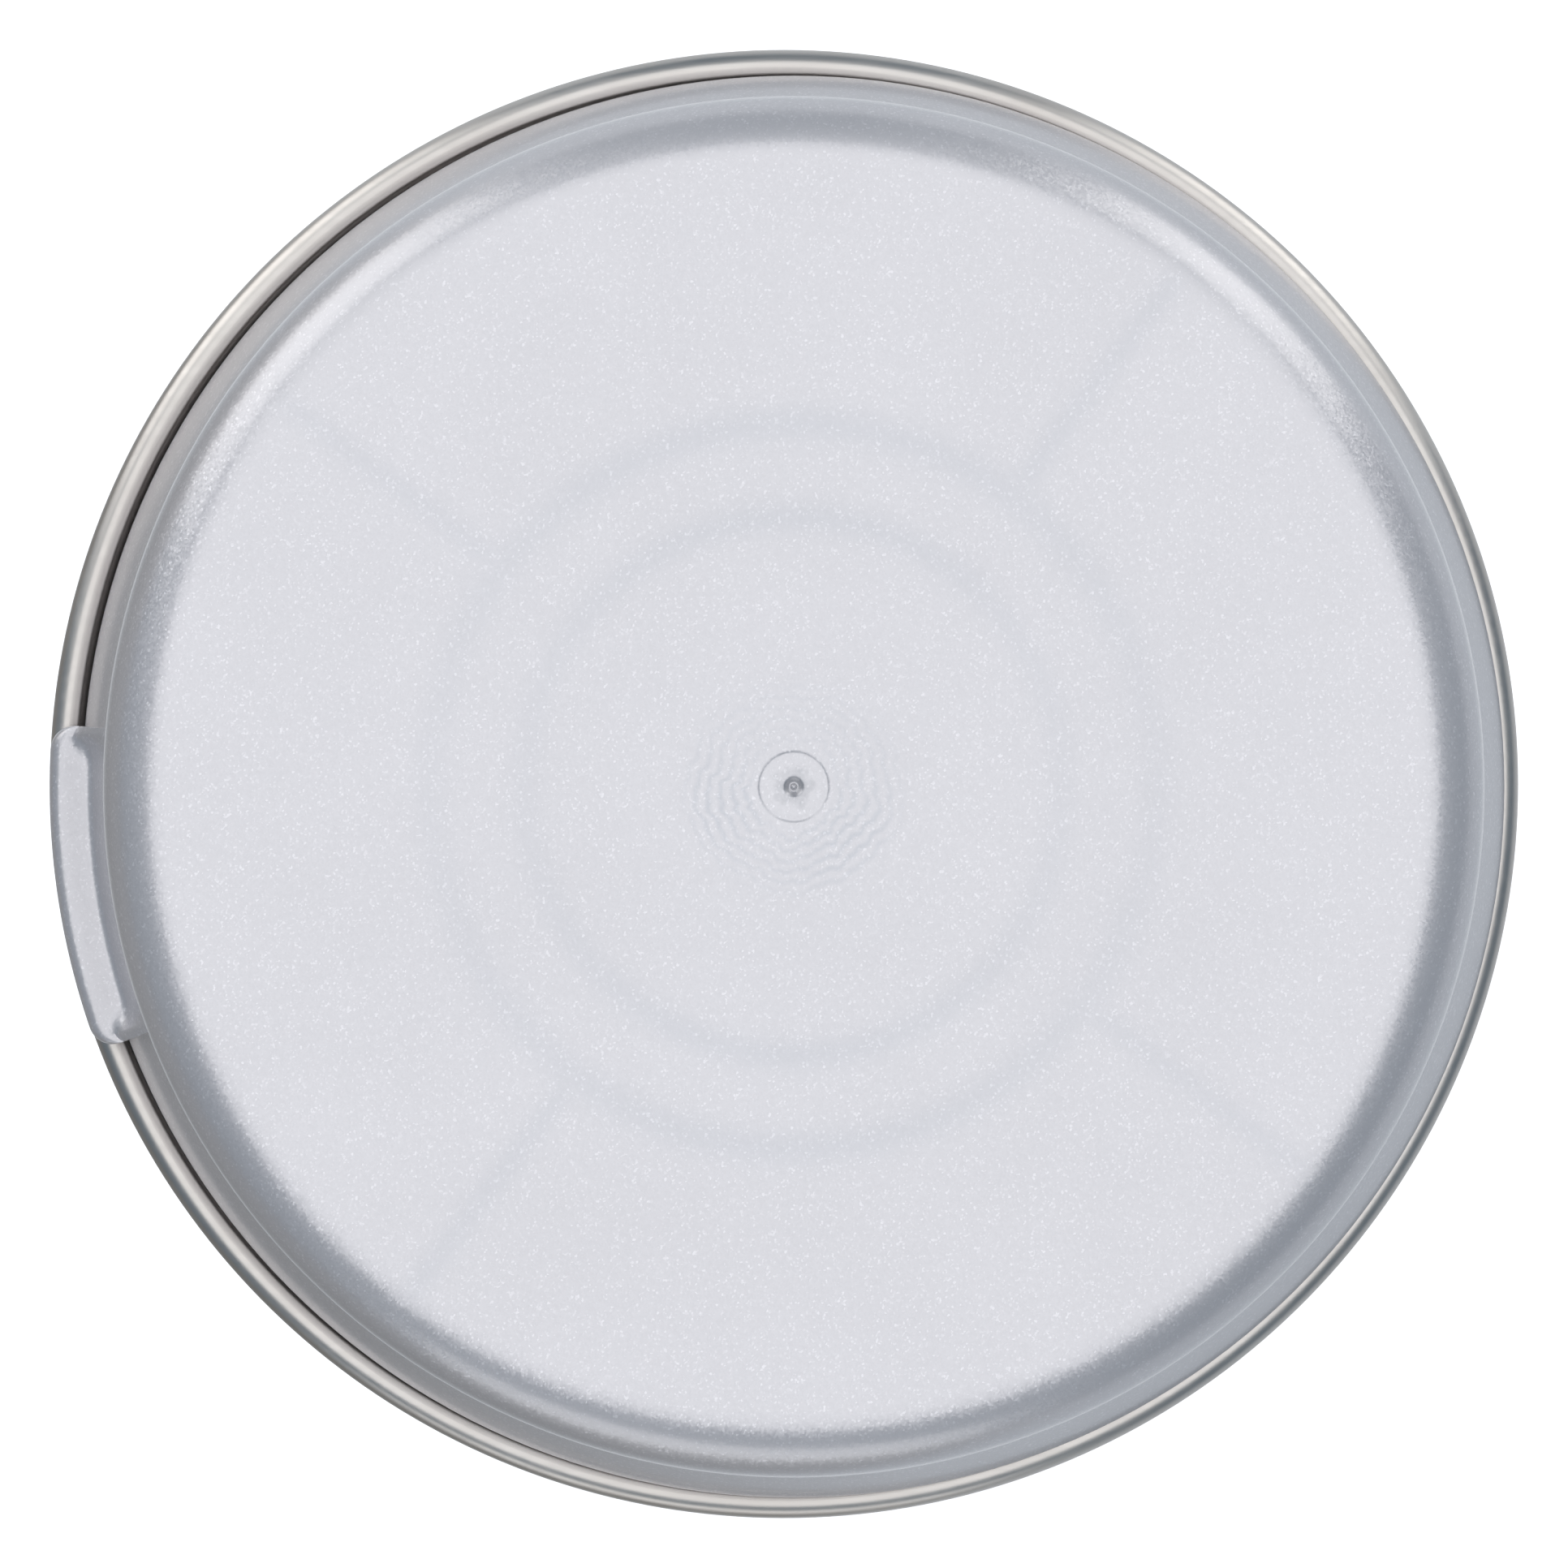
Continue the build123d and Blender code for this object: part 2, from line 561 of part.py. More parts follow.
def cap_tube():
    """Inner tube that centres the cap over the valve cup, with a bead below the cup's lip."""
    root_z = cap_plate_z + EMBED
    bead_z = curl_z - CUP_LIP - CAP_BEAD_BELOW_LIP
    bead_r = cup_rim_r + cap_play + CAP_BEAD_CLEARANCE
    bead_low_z = bead_z - CAP_BEAD_HALF_HEIGHT
    bead_high_z = bead_z + CAP_BEAD_HALF_HEIGHT
    outline = Polyline(
        (tube_inner_r(root_z), root_z),
        (tube_inner_r(bead_high_z), bead_high_z),
        (bead_r, bead_z),
        (tube_inner_r(bead_low_z), bead_low_z),
        (tube_inner_r(tube_bottom_z), tube_bottom_z),
        (tube_inner_r(tube_bottom_z) + CAP_TUBE_WALL, tube_bottom_z),
        (tube_inner_r(root_z) + CAP_TUBE_WALL, root_z),
        close=True,
    )
    return turned(outline)


def radial_plate(inner_r, outer_r, low_z, high_z, thickness, angle):
    """Upright plate that stands on a radius at an angle."""
    plate = Box(outer_r - inner_r, thickness, high_z - low_z)
    return Rot(Z=angle) * Pos((inner_r + outer_r) / 2, 0, (low_z + high_z) / 2) * plate


def cap_ribs():
    """Ribs under the top, from the inner tube to the wall."""
    low_z = cap_plate_z - CAP_RIB_DEPTH
    inner_r = tube_inner_r(cap_plate_z) + CAP_TUBE_WALL / 2
    sizes = (inner_r, cap_flare_r, low_z, cap_plate_z + EMBED, CAP_RIB_THICKNESS)
    ribs = Part() + [radial_plate(*sizes, angle) for angle in rib_angles]
    return ribs & cap_envelope()


def cap_lugs():
    """Stop lugs inside the tube, which rest on the crown of the valve cup's lip."""
    low_z = cup_top_z + CAP_SEAT_GAP
    crown_r = NECK_R + CURL_WIDTH / 2
    outer_r = tube_inner_r(low_z + CAP_LUG_HEIGHT) + CAP_TUBE_WALL / 2
    sizes = (crown_r - CAP_LUG_REACH, outer_r, low_z, low_z + CAP_LUG_HEIGHT, CAP_RIB_THICKNESS)
    return [radial_plate(*sizes, angle) for angle in rib_angles]


def cap_tab():
    """Thumb ledge above the rim with a gusset at each end."""
    low_z = CAN_HEIGHT + TAB_UNDERCUT
    high_z = low_z + TAB_THICKNESS
    inner_r = cap_base_r - CAP_WALL / 2
    corners = [(inner_r, low_z), (tab_outer_r, low_z), (tab_outer_r, high_z), (inner_r, high_z)]
    face = Plane.XZ * make_face(Polyline(*corners, close=True))
    ledge = revolve(face, Axis.Z, revolution_arc=2 * TAB_HALF_SPAN)
    ends = ledge.edges().filter_by(Axis.Z).sort_by(lambda edge: edge.center().X**2 + edge.center().Y**2)
    ledge = Rot(Z=TAB_ANGLE - TAB_HALF_SPAN) * fillet(ends[-2:], TAB_CORNER_R)
    toe_r = tab_outer_r - TAB_CORNER_R
    gusset_top_z = high_z + TAB_GUSSET_HEIGHT
    corners = [(cap_flare_r, low_z), (toe_r, high_z - EMBED), (toe_r, high_z), (cap_flare_r, gusset_top_z)]
    face = Plane.XZ * make_face(Polyline(*corners, close=True))
    gusset = extrude(face, TAB_GUSSET_THICKNESS / 2, both=True)
    gusset_angle = TAB_HALF_SPAN - math.degrees(TAB_GUSSET_THICKNESS / 2 / cap_base_r)
    sides = [Rot(Z=TAB_ANGLE + side * gusset_angle) * gusset for side in (-1, 1)]
    return [ledge, *sides]


def gate_mark():
    """Shallow dish with a raised nub, left at the centre of the top by moulding."""
    floor_z = cap_top_z - GATE_DEPTH
    dish = turned_ring(0, GATE_R, floor_z, cap_top_z)
    return dish - turned_ring(0, GATE_NUB_R, floor_z, floor_z + GATE_NUB_HEIGHT)


def overcap():
    """The whole cap, pushed sideways by the play between its plug lip and the countersink."""
    ring_r = CAP_RING_R - CAP_RING_WALL / 2
    ring = turned_ring(ring_r, ring_r + CAP_RING_WALL, cap_plate_z - CAP_RING_DEPTH, cap_plate_z + EMBED)
    cap = cap_shell() + cap_tube() + ring + cap_ribs() + cap_lugs() + cap_tab() - gate_mark()
    return Pos(cap_shift.X, cap_shift.Y, 0) * cap


# %% Write one file per piece
pieces = {
    "can_body": can_body(),
    "can_dome": can_dome(),
    "can_bottom": can_bottom(),
    "top_seam_sealant": seam_sealant(from_top),
    "bottom_seam_sealant": seam_sealant(from_bottom),
    "mounting_cup": mounting_cup(),
    "cup_gasket": cup_gasket(),
    "stem_gasket": stem_gasket(),
    "valve_housing": valve_housing(),
    "valve_spring": valve_spring(),
    "valve_stem": valve_stem(),
    "dip_tube": dip_tube(),
    "agitator_ball": agitator_ball(),
    "actuator_button": actuator_button(),
    "nozzle_insert": nozzle_insert(),
    "overcap": overcap(),
}
os.makedirs("parts", exist_ok=True)
for name, shape in pieces.items():
    export_step(shape, f"parts/{name}.step")
    print(name, "solids", len(shape.solids()), "volume", round(shape.volume, 2))
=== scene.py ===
# %% [markdown]
# # An aerosol paint can
# A spray-paint can is a printed tinplate cylinder with a domed top and a concave bottom, both rolled on with
# a double seam. A valve is crimped into the dome, a spray button sits on the valve, and a moulded plastic
# overcap covers all of it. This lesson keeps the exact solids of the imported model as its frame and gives
# them finishes, and it models again, more finely, the pieces whose surface is looked at closely.

# %% Load the frame
import json

import bpy
import numpy as np
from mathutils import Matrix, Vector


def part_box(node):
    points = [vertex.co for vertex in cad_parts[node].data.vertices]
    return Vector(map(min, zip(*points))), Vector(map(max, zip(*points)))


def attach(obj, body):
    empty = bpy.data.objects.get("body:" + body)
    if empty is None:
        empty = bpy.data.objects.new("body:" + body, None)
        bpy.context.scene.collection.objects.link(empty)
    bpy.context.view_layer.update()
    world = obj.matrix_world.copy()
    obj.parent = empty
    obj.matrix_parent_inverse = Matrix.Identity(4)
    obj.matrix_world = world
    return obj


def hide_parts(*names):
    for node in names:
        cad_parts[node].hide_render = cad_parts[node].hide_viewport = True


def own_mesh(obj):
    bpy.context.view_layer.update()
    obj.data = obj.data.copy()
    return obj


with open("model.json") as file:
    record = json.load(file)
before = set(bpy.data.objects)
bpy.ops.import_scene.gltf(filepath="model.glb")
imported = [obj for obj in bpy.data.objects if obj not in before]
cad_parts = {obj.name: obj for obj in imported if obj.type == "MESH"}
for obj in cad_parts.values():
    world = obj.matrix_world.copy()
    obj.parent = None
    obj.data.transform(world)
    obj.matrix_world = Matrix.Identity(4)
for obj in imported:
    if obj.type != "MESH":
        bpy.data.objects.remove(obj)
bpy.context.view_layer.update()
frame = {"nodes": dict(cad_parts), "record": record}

MM = 0.001

# %% [markdown]
# ## Drawing outlines the way sheet metal and moulds are drawn
# Almost every piece here is turned: an outline in radius and height, carried once round the axis. A real
# drawing gives such an outline as corners and the radius at each corner, so the first helper does the same.
# Curves could also be typed in point by point, but corners with radii stay readable and can be changed.

# %% Outlines with round corners
TURN = 2 * np.pi


def rounded(corners, radii, steps=5):
    """Corners joined by straight runs, each corner replaced by an arc of its radius.

    Where two runs turn by an angle t, an arc of radius R touches both at R tan(t / 2) from the corner.
    Its centre lies on the inside, R away from each run, and its points swing from one touching point
    to the other. A radius of 0 keeps the corner as it is.
    """
    corners = np.asarray(corners, float)
    path = [corners[:1]]
    for before, corner, after, radius in zip(corners, corners[1:], corners[2:], radii):
        come, leave = corner - before, after - corner
        come, leave = come / np.hypot(*come), leave / np.hypot(*leave)
        side = come[0] * leave[1] - come[1] * leave[0]
        turn = np.arctan2(abs(side), come @ leave)
        if radius == 0 or turn < 1e-6:
            path.append(corner[None])
            continue
        left = np.array([-come[1], come[0]]) * np.sign(side)
        start = corner - come * radius * np.tan(turn / 2)
        swing = np.linspace(0, turn, steps + 1)[:, None]
        path.append(start + radius * (come * np.sin(swing) + left * (1 - np.cos(swing))))
    path.append(corners[-1:])
    return np.concatenate(path)


def densified(path, longest):
    """The same outline with extra points, evenly spaced, on every run longer than a given length."""
    lengths = np.hypot(*np.diff(path, axis=0).T)
    parts = np.maximum(1, np.ceil(lengths / longest)).astype(int)
    along = np.concatenate([i + np.arange(n) / n for i, n in enumerate(parts)] + [[len(parts)]])
    index = np.arange(len(path))
    return np.stack([np.interp(along, index, path[:, axis]) for axis in (0, 1)], axis=1)


square = rounded([(0, 0), (4, 0), (4, 4), (0, 4)], [1, 1])
print("a trial outline has", len(square), "points, the last at", square[-1])

# %% [markdown]
# ## From grids of points to meshes
# A surface is a grid: rows run along the outline and columns run round the axis. The faces of a grid follow
# from counting alone, so they are made as whole arrays. A shell either closes on itself, as a ring does, or
# ends in two poles, each a fan of triangles to the middle of its last row. The signed volume of the shell
# tells which way its faces point, and a shell that is inside out is turned.

# %% Grids, shells and pieces


def shell(grid, ring=False):
    """Closed shell of a grid of points (rows, columns, xyz) whose columns meet round the back.

    Each face joins point (i, j) to (i + 1, j), (i + 1, j + 1) and (i, j + 1). In a ring the last row meets
    the first. Otherwise each end row is closed by a fan to its mean point.
    """
    rows, columns = grid.shape[:2]
    points = grid.reshape(-1, 3)
    number = np.arange(rows * columns).reshape(rows, columns)
    if ring:
        number = np.vstack([number, number[:1]])
    across = np.roll(number, -1, axis=1)
    quads = np.stack([number[:-1], number[1:], across[1:], across[:-1]], axis=-1).reshape(-1, 4)
    fans = np.zeros((0, 3), int)
    if not ring:
        poles = np.array([[len(points)], [len(points) + 1]])
        points = np.vstack([points, grid[0].mean(axis=0), grid[-1].mean(axis=0)])
        first = np.stack([number[0], across[0], np.full(columns, poles[0, 0])], axis=-1)
        last = np.stack([across[-1], number[-1], np.full(columns, poles[1, 0])], axis=-1)
        fans = np.vstack([first, last])
    triangles = np.vstack([quads[:, [0, 1, 2]], quads[:, [0, 2, 3]], fans])
    a, b, c = (points[triangles[:, k]] for k in range(3))
    volume = np.einsum("ij,ij->i", a, np.cross(b, c)).sum() / 6
    if volume < 0:
        quads, fans = quads[:, ::-1], fans[:, ::-1]
    return points, quads, fans, abs(volume)


def make_piece(name, shells, finish, body, slot, *nodes):
    """One object from closed shells in millimetres. It rides on a body and stands for its CAD nodes."""
    points, faces, count, volume = [], [], 0, 0.0
    for shell_points, quads, fans, shell_volume in shells:
        points.append(shell_points)
        faces += (quads + count).tolist() + (fans + count).tolist()
        count += len(shell_points)
        volume += shell_volume
    mesh = bpy.data.meshes.new(name)
    mesh.from_pydata(np.vstack(points) * MM, [], faces)
    mesh.polygons.foreach_set("use_smooth", np.ones(len(faces), bool))
    mesh.set_sharp_from_angle(angle=np.radians(50))
    mesh.materials.append(finish)
    piece = bpy.data.objects.new(name, mesh)
    bpy.context.scene.collection.objects.link(piece)
    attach(piece, body)
    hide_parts(*nodes)
    triangles = sum(len(face) - 2 for face in faces)
    print(f"{name}: {len(shells)} shells, {triangles} triangles, {volume / 1000:.2f} cubic centimetres")
    return piece


def around(profile, angles, centre=(0, 0)):
    """Grid of a turned outline: point (r, z) at angle a goes to (x + r cos a, y + r sin a, z)."""
    r, z = profile[:, :1], profile[:, 1:]
    flat = np.ones_like(angles)
    return np.stack([centre[0] + r * np.cos(angles), centre[1] + r * np.sin(angles), z * flat], axis=-1)


def even_angles(count):
    return np.arange(count) * TURN / count


trial = shell(around(rounded([(0.001, 1), (1, 1), (1, -1), (0.001, -1)], [0, 0]), even_angles(180)))
print("a cylinder of radius 1 and height 2 holds", round(trial[3], 3), "and should hold", round(TURN, 3))

# %% [markdown]
# ## Materials as small graphs of nodes
# A material is a graph that ends in one surface shader. Everything that is the same all over the piece is
# set straight on the shader, and only what changes over the surface is linked to it. All patterns are read
# from Object coordinates, which are metres here because every piece keeps its place in its mesh. A pattern
# that is, say, 0.2 mm wide therefore has a scale of 1000 / 0.2 cells a metre.

# %% Colours and nodes


def linear(code):
    """An sRGB colour #rrggbb as linear light: v / 12.92 when dark, else ((v + 0.055) / 1.055) ** 2.4."""
    s = np.array([int(code[i:i + 2], 16) for i in (1, 3, 5)]) / 255
    return (*np.where(s <= 0.04045, s / 12.92, ((s + 0.055) / 1.055) ** 2.4).tolist(), 1.0)


def per_metre(size_mm):
    """The scale of a pattern whose cells measure this many millimetres."""
    return 1 / (size_mm * MM)


def add(graph, kind, *inputs, **named):
    """A node with its settings and links.

    Inputs fill the node's open sockets in order. A name in small letters is a setting, and a name with a
    capital is a socket. A node given as an input is linked from its first open output.
    """
    node = graph.nodes.new("ShaderNode" + kind)
    for key in [key for key in named if key[0].islower()]:
        setattr(node, key, named.pop(key))
    sockets = [socket for socket in node.inputs if socket.enabled]
    by_name = {socket.name: socket for socket in reversed(sockets)}
    links = list(zip(sockets, inputs))
    links += [(by_name[key.replace("_", " ")], value) for key, value in named.items()]
    for socket, value in links:
        if isinstance(value, bpy.types.Node):
            value = next(output for output in value.outputs if output.enabled)
        if isinstance(value, bpy.types.NodeSocket):
            graph.links.new(value, socket)
        elif value is not None:
            socket.default_value = value
    return node


def new_finish(name):
    """An empty material. Returns it with its graph and its Object coordinates."""
    finish = bpy.data.materials.new(name)
    finish.use_nodes = True
    finish.node_tree.nodes.clear()
    return finish, finish.node_tree, add(finish.node_tree, "TexCoord").outputs["Object"]


print("a mid grey of #808080 is", round(linear("#808080")[0], 4), "in linear light")

# %% [markdown]
# ## Pearl plastic
# The cap is polypropylene moulded with a silver pearl masterbatch: tiny mica flakes in a clear, slightly
# grey plastic. Light comes back twice, as a soft metallic sheen from the flakes and as a plain gloss from the
# skin. The flakes lie nearly flat with the skin but each is tilted a little, which makes it glitter. The
# glitter could be a bump, but a bump has slopes only at the edges of its cells. Tilting the surface by one
# random amount in each cell is what real flakes do. A few flakes also get a brighter tone, a painted glint.
# Round the gate, where the plastic came in coldest, a grey smear stays. The sink grooves and the ripples get
# a darker blue-grey tone, painted shade that the overcap brings as an attribute of its own.

# %% Pearl plastic
# Real flakes measure about 0.03 to 0.06 mm. They are drawn at 0.09 mm, which still shows as fine glitter.
FLAKE = 0.09
FLAKE_TILT = 0.09
SMEAR_FROM, SMEAR_TO, SMEAR_WAVER = 0.35, 1.0, 0.3
cap_low, cap_high = (np.array(corner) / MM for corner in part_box("overcap"))
CAP_Y = (cap_low[1] + cap_high[1]) / 2
CAP_X = cap_high[0] - (cap_high[1] - cap_low[1]) / 2

pearl, graph, place = new_finish("silver_pearl_polypropylene")
flakes = add(graph, "TexVoronoi", place, Scale=per_metre(FLAKE)).outputs["Color"]
tilt = add(graph, "VectorMath", flakes, (0.5, 0.5, 0.5), operation="SUBTRACT")
tilt = add(graph, "VectorMath", tilt, Scale=FLAKE_TILT, operation="SCALE")
facing = add(graph, "NewGeometry").outputs["Normal"]
glitter = add(graph, "VectorMath", facing, tilt, operation="ADD")
glitter = add(graph, "VectorMath", glitter, operation="NORMALIZE")
skin = add(graph, "TexNoise", place, Scale=per_metre(0.6), Detail=2.0)
grain = add(graph, "Bump", Strength=0.05, Distance=0.02 * MM, Height=skin, Normal=glitter)
cloud = add(graph, "TexNoise", place, Scale=per_metre(9), Detail=3.0, Roughness=0.6)
shade = add(graph, "MapRange", flakes, To_Min=0.96, To_Max=1.03)
# painted glint: a few flakes get a tone up to 16 per cent brighter
painted_glint = add(graph, "MapRange", flakes, From_Min=0.76, From_Max=0.92, To_Min=1.0, To_Max=1.16)
shade = add(graph, "Math", shade, painted_glint, operation="MULTIPLY")
soft = add(graph, "MapRange", cloud, From_Min=0.3, From_Max=0.7, To_Min=0.985, To_Max=1.015)
both = add(graph, "Math", shade, soft, operation="MULTIPLY")
tone = add(graph, "VectorMath", linear("#d8d5d8")[:3], Scale=both, operation="SCALE")
from_gate = add(graph, "VectorMath", place, (CAP_X * MM, CAP_Y * MM, 0.0), operation="SUBTRACT")
from_gate = add(graph, "VectorMath", from_gate, (1.0, 1.0, 0.0), operation="MULTIPLY")
from_gate = add(graph, "VectorMath", from_gate, operation="LENGTH").outputs["Value"]
smear = add(graph, "TexNoise", place, Scale=per_metre(0.5), Detail=3.0)
waver = SMEAR_WAVER * MM
smear = add(graph, "MapRange", smear, From_Min=0.3, From_Max=0.7, To_Min=-waver, To_Max=waver)
from_gate = add(graph, "Math", from_gate, smear, operation="ADD")
stain = add(graph, "MapRange", from_gate, From_Min=SMEAR_FROM * MM, From_Max=SMEAR_TO * MM, To_Min=0.3, To_Max=0.0)
tone = add(graph, "Mix", stain, tone, linear("#6f757b"), data_type="RGBA")
# painted shade: a darker blue-grey tone in the sink grooves and ripples, read from the overcap's mesh
shade_in_marks = add(graph, "Attribute", attribute_name="painted_mark_shade").outputs["Fac"]
tone = add(graph, "Mix", shade_in_marks, tone, linear("#9fa8b3"), data_type="RGBA")
gloss = {"Roughness": 0.36, "Coat_Weight": 0.7, "Coat_Roughness": 0.12}
shader = add(graph, "BsdfPrincipled", tone, Metallic=0.55, Normal=grain, **gloss)
add(graph, "OutputMaterial", shader)
print("flakes a metre:", round(per_metre(FLAKE)))

# %% [markdown]
# ## Bright tinplate
# The can's ends and the valve cup are tinplate: steel sheet with a thin flow-brightened coat of tin. Tin is
# warm and not quite a mirror, because the rolls that made the sheet left fine straight lines in it, and the
# tools that curled the seam left faint lines round it. Both are drawn as stretched noise. For lines round
# the axis the noise is read at the radius and the height only, so it can't change with the angle.

# %% Bright tinplate
tinplate, graph, place = new_finish("flow_brightened_tinplate")
along_roll = add(graph, "Mapping", place, Scale=(0.04, 1.0, 1.0))
rolling = add(graph, "TexNoise", along_roll, Scale=per_metre(0.35), Detail=4.0, Roughness=0.65)
split = add(graph, "SeparateXYZ", place)
radius = add(graph, "CombineXYZ", split.outputs["X"], split.outputs["Y"])
radius = add(graph, "VectorMath", radius, operation="LENGTH").outputs["Value"]
turned_place = add(graph, "CombineXYZ", radius, 0.0, split.outputs["Z"])
tooling = add(graph, "TexNoise", turned_place, Scale=per_metre(0.22), Detail=2.0)
lines = add(graph, "Math", rolling, tooling, operation="ADD")
rough = add(graph, "MapRange", lines, From_Min=0.7, From_Max=1.3, To_Min=0.3, To_Max=0.42)
wear = add(graph, "TexNoise", place, Scale=per_metre(6), Detail=4.0)
tone = add(graph, "Mix", wear, linear("#cfc8c2"), linear("#dcd7d2"), data_type="RGBA")
dents = add(graph, "Bump", Strength=0.25, Distance=0.01 * MM, Height=lines)
shader = add(graph, "BsdfPrincipled", tone, Metallic=1.0, Roughness=rough, Normal=dents)
add(graph, "OutputMaterial", shader)
print("tin is metallic, with a roughness between 0.3 and 0.42")

# %% [markdown]
# ## Printed tinplate
# The body is printed flat before it is rolled and welded. It has a white base coat, plain grey bands and a
# gloss varnish. The margins that go into the seams stay bare, and so does a narrow strip each side of the
# weld at the back, so that the welding current can pass. The inside is not printed. A colour ramp over the
# height gives the bands, and its alpha says where there is any ink. Two masks take the ink off at the weld
# and on the inside.

# %% Printed tinplate
BODY_HEIGHT = 158.8
WELD_STRIP = 1.6
BODY_MID_R = 32.84
BARE, WHITE, GREY = (*linear("#cbc4bd")[:3], 0.0), linear("#eef0f1"), linear("#8f959d")
PRINT = [
    (0, BARE), (4.6, GREY), (14, WHITE), (116, GREY), (117.2, WHITE), (118.4, GREY), (146, WHITE), (154.2, BARE),
]

printed, graph, place = new_finish("varnished_printed_tinplate")
split = add(graph, "SeparateXYZ", place)
share = add(graph, "Math", split.outputs["Z"], BODY_HEIGHT * MM, operation="DIVIDE")
ramp = add(graph, "ValToRGB", share)
ramp.color_ramp.interpolation = "CONSTANT"
for height, _ in PRINT[2:]:
    ramp.color_ramp.elements.new(height / BODY_HEIGHT)
for element, (height, colour) in zip(ramp.color_ramp.elements, PRINT):
    element.position, element.color = height / BODY_HEIGHT, colour
radius = add(graph, "CombineXYZ", split.outputs["X"], split.outputs["Y"])
radius = add(graph, "VectorMath", radius, operation="LENGTH").outputs["Value"]
outside = add(graph, "Math", radius, BODY_MID_R * MM, operation="GREATER_THAN")
beside = add(graph, "Math", split.outputs["X"], operation="ABSOLUTE")
beside = add(graph, "Math", beside, WELD_STRIP * MM, operation="GREATER_THAN")
front = add(graph, "Math", split.outputs["Y"], 0.0, operation="LESS_THAN")
clear_of_weld = add(graph, "Math", beside, front, operation="MAXIMUM")
inked = add(graph, "Math", outside, clear_of_weld, operation="MULTIPLY")
inked = add(graph, "Math", inked, ramp.outputs["Alpha"], operation="MULTIPLY")
coat = add(graph, "Mix", inked, BARE, ramp.outputs["Color"], data_type="RGBA")
bare = add(graph, "Math", 1.0, inked, operation="SUBTRACT")
scuff = add(graph, "TexNoise", place, Scale=per_metre(14), Detail=6.0, Roughness=0.7)
gloss = add(graph, "MapRange", scuff, From_Min=0.35, From_Max=0.65, To_Min=0.22, To_Max=0.27)
peel = add(graph, "TexNoise", place, Scale=per_metre(1.6), Detail=2.0)
ripple = add(graph, "Bump", Strength=0.12, Distance=0.01 * MM, Height=peel)
varnish = {"Coat_Weight": inked, "Coat_Roughness": 0.06}
shader = add(graph, "BsdfPrincipled", coat, Metallic=bare, Roughness=gloss, Normal=ripple, **varnish)
add(graph, "OutputMaterial", shader)
print("print changes at heights of", [height for height, _ in PRINT], "mm")

# %% [markdown]
# ## Plastics, rubber, wire and ball
# The small pieces inside are simpler, but none is one flat colour. Moulded plastic has a faint grain and
# slight clouding, rubber is dull and dusty, drawn wire has lines along it, and a ground ball is a near mirror
# with fine scratches. They share one recipe: a noise of the right size moves the tone and the roughness a
# little and gives a shallow bump, so one loop can make them from a table.

# %% Small finishes from one table
# slot: name, dark tone, light tone, grain in mm, bump in mm, roughness low and high, shader settings


def glow(weight, depth):
    """Light that goes this deep into the plastic, in metres, as the shader's own sockets."""
    return {"Subsurface_Weight": weight, "Subsurface_Scale": depth}


METAL = {"Metallic": 1.0}
SMALL = {
    "seaming_compound": ("cured_seaming_compound", "#8d8474", "#a69c8a", 0.5, 0.03, 0.6, 0.8, {}),
    "gasket_rubber": ("moulded_nitrile_rubber", "#17171a", "#242426", 0.3, 0.01, 0.55, 0.75, {}),
    "valve_plastic": ("natural_moulded_acetal", "#dedcd2", "#ebe9e1", 0.5, 0.004, 0.28, 0.4, glow(0.15, 0.001)),
    "spring_steel": ("drawn_stainless_wire", "#a9a7a4", "#c2c0bc", 0.12, 0.002, 0.22, 0.36, METAL),
    "tube_plastic": ("natural_polyethylene_tube", "#d9dad4", "#e6e7e2", 1.2, 0.01, 0.35, 0.5, glow(0.3, 0.002)),
    "button_plastic": ("white_moulded_polypropylene", "#e3e4e3", "#eeefee", 0.45, 0.006, 0.3, 0.42, glow(0.1, 0.001)),
    "nozzle_plastic": ("black_moulded_acetal", "#141416", "#222225", 0.3, 0.004, 0.3, 0.42, {}),
    "ball_steel": ("ground_bearing_steel", "#c4c5c8", "#d3d4d6", 0.25, 0.0006, 0.05, 0.12, METAL),
}
finishes = {"printed_tinplate": printed, "bare_tinplate": tinplate, "pearl_plastic": pearl}
for slot, (name, dark, light, grain_mm, bump_mm, smooth, dull, settings) in SMALL.items():
    finishes[slot], graph, place = new_finish(name)
    grain = add(graph, "TexNoise", place, Scale=per_metre(grain_mm), Detail=3.0, Roughness=0.6)
    clouds = add(graph, "TexNoise", place, Scale=per_metre(grain_mm * 12), Detail=2.0)
    tone = add(graph, "Mix", clouds, linear(dark), linear(light), data_type="RGBA")
    rough = add(graph, "MapRange", grain, From_Min=0.3, From_Max=0.7, To_Min=smooth, To_Max=dull)
    bump = add(graph, "Bump", Strength=0.6, Distance=bump_mm * MM, Height=grain)
    shader = add(graph, "BsdfPrincipled", tone, Roughness=rough, Normal=bump, **settings)
    add(graph, "OutputMaterial", shader)
for part in frame["record"]["subparts"]:
    node = frame["nodes"][part["node"]]
    for holder in node.material_slots:
        holder.material = finishes[part["material_slot"]]
print("finishes:", ", ".join(finish.name for finish in finishes.values()))

# %% [markdown]
# ## Sheet metal: body, ends and valve cup
# Sheet metal is drawn by its mid line, the path that a tool bends the sheet along. Half a sheet is added on
# each side, so a bend is tighter inside and looser outside by that half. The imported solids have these
# shapes already. They are turned again here in three hundred steps, because a rolled seam is judged by the
# highlight that runs along it, and a coarse facet shows there first.

# %% Folded sheet
FINE = even_angles(300)


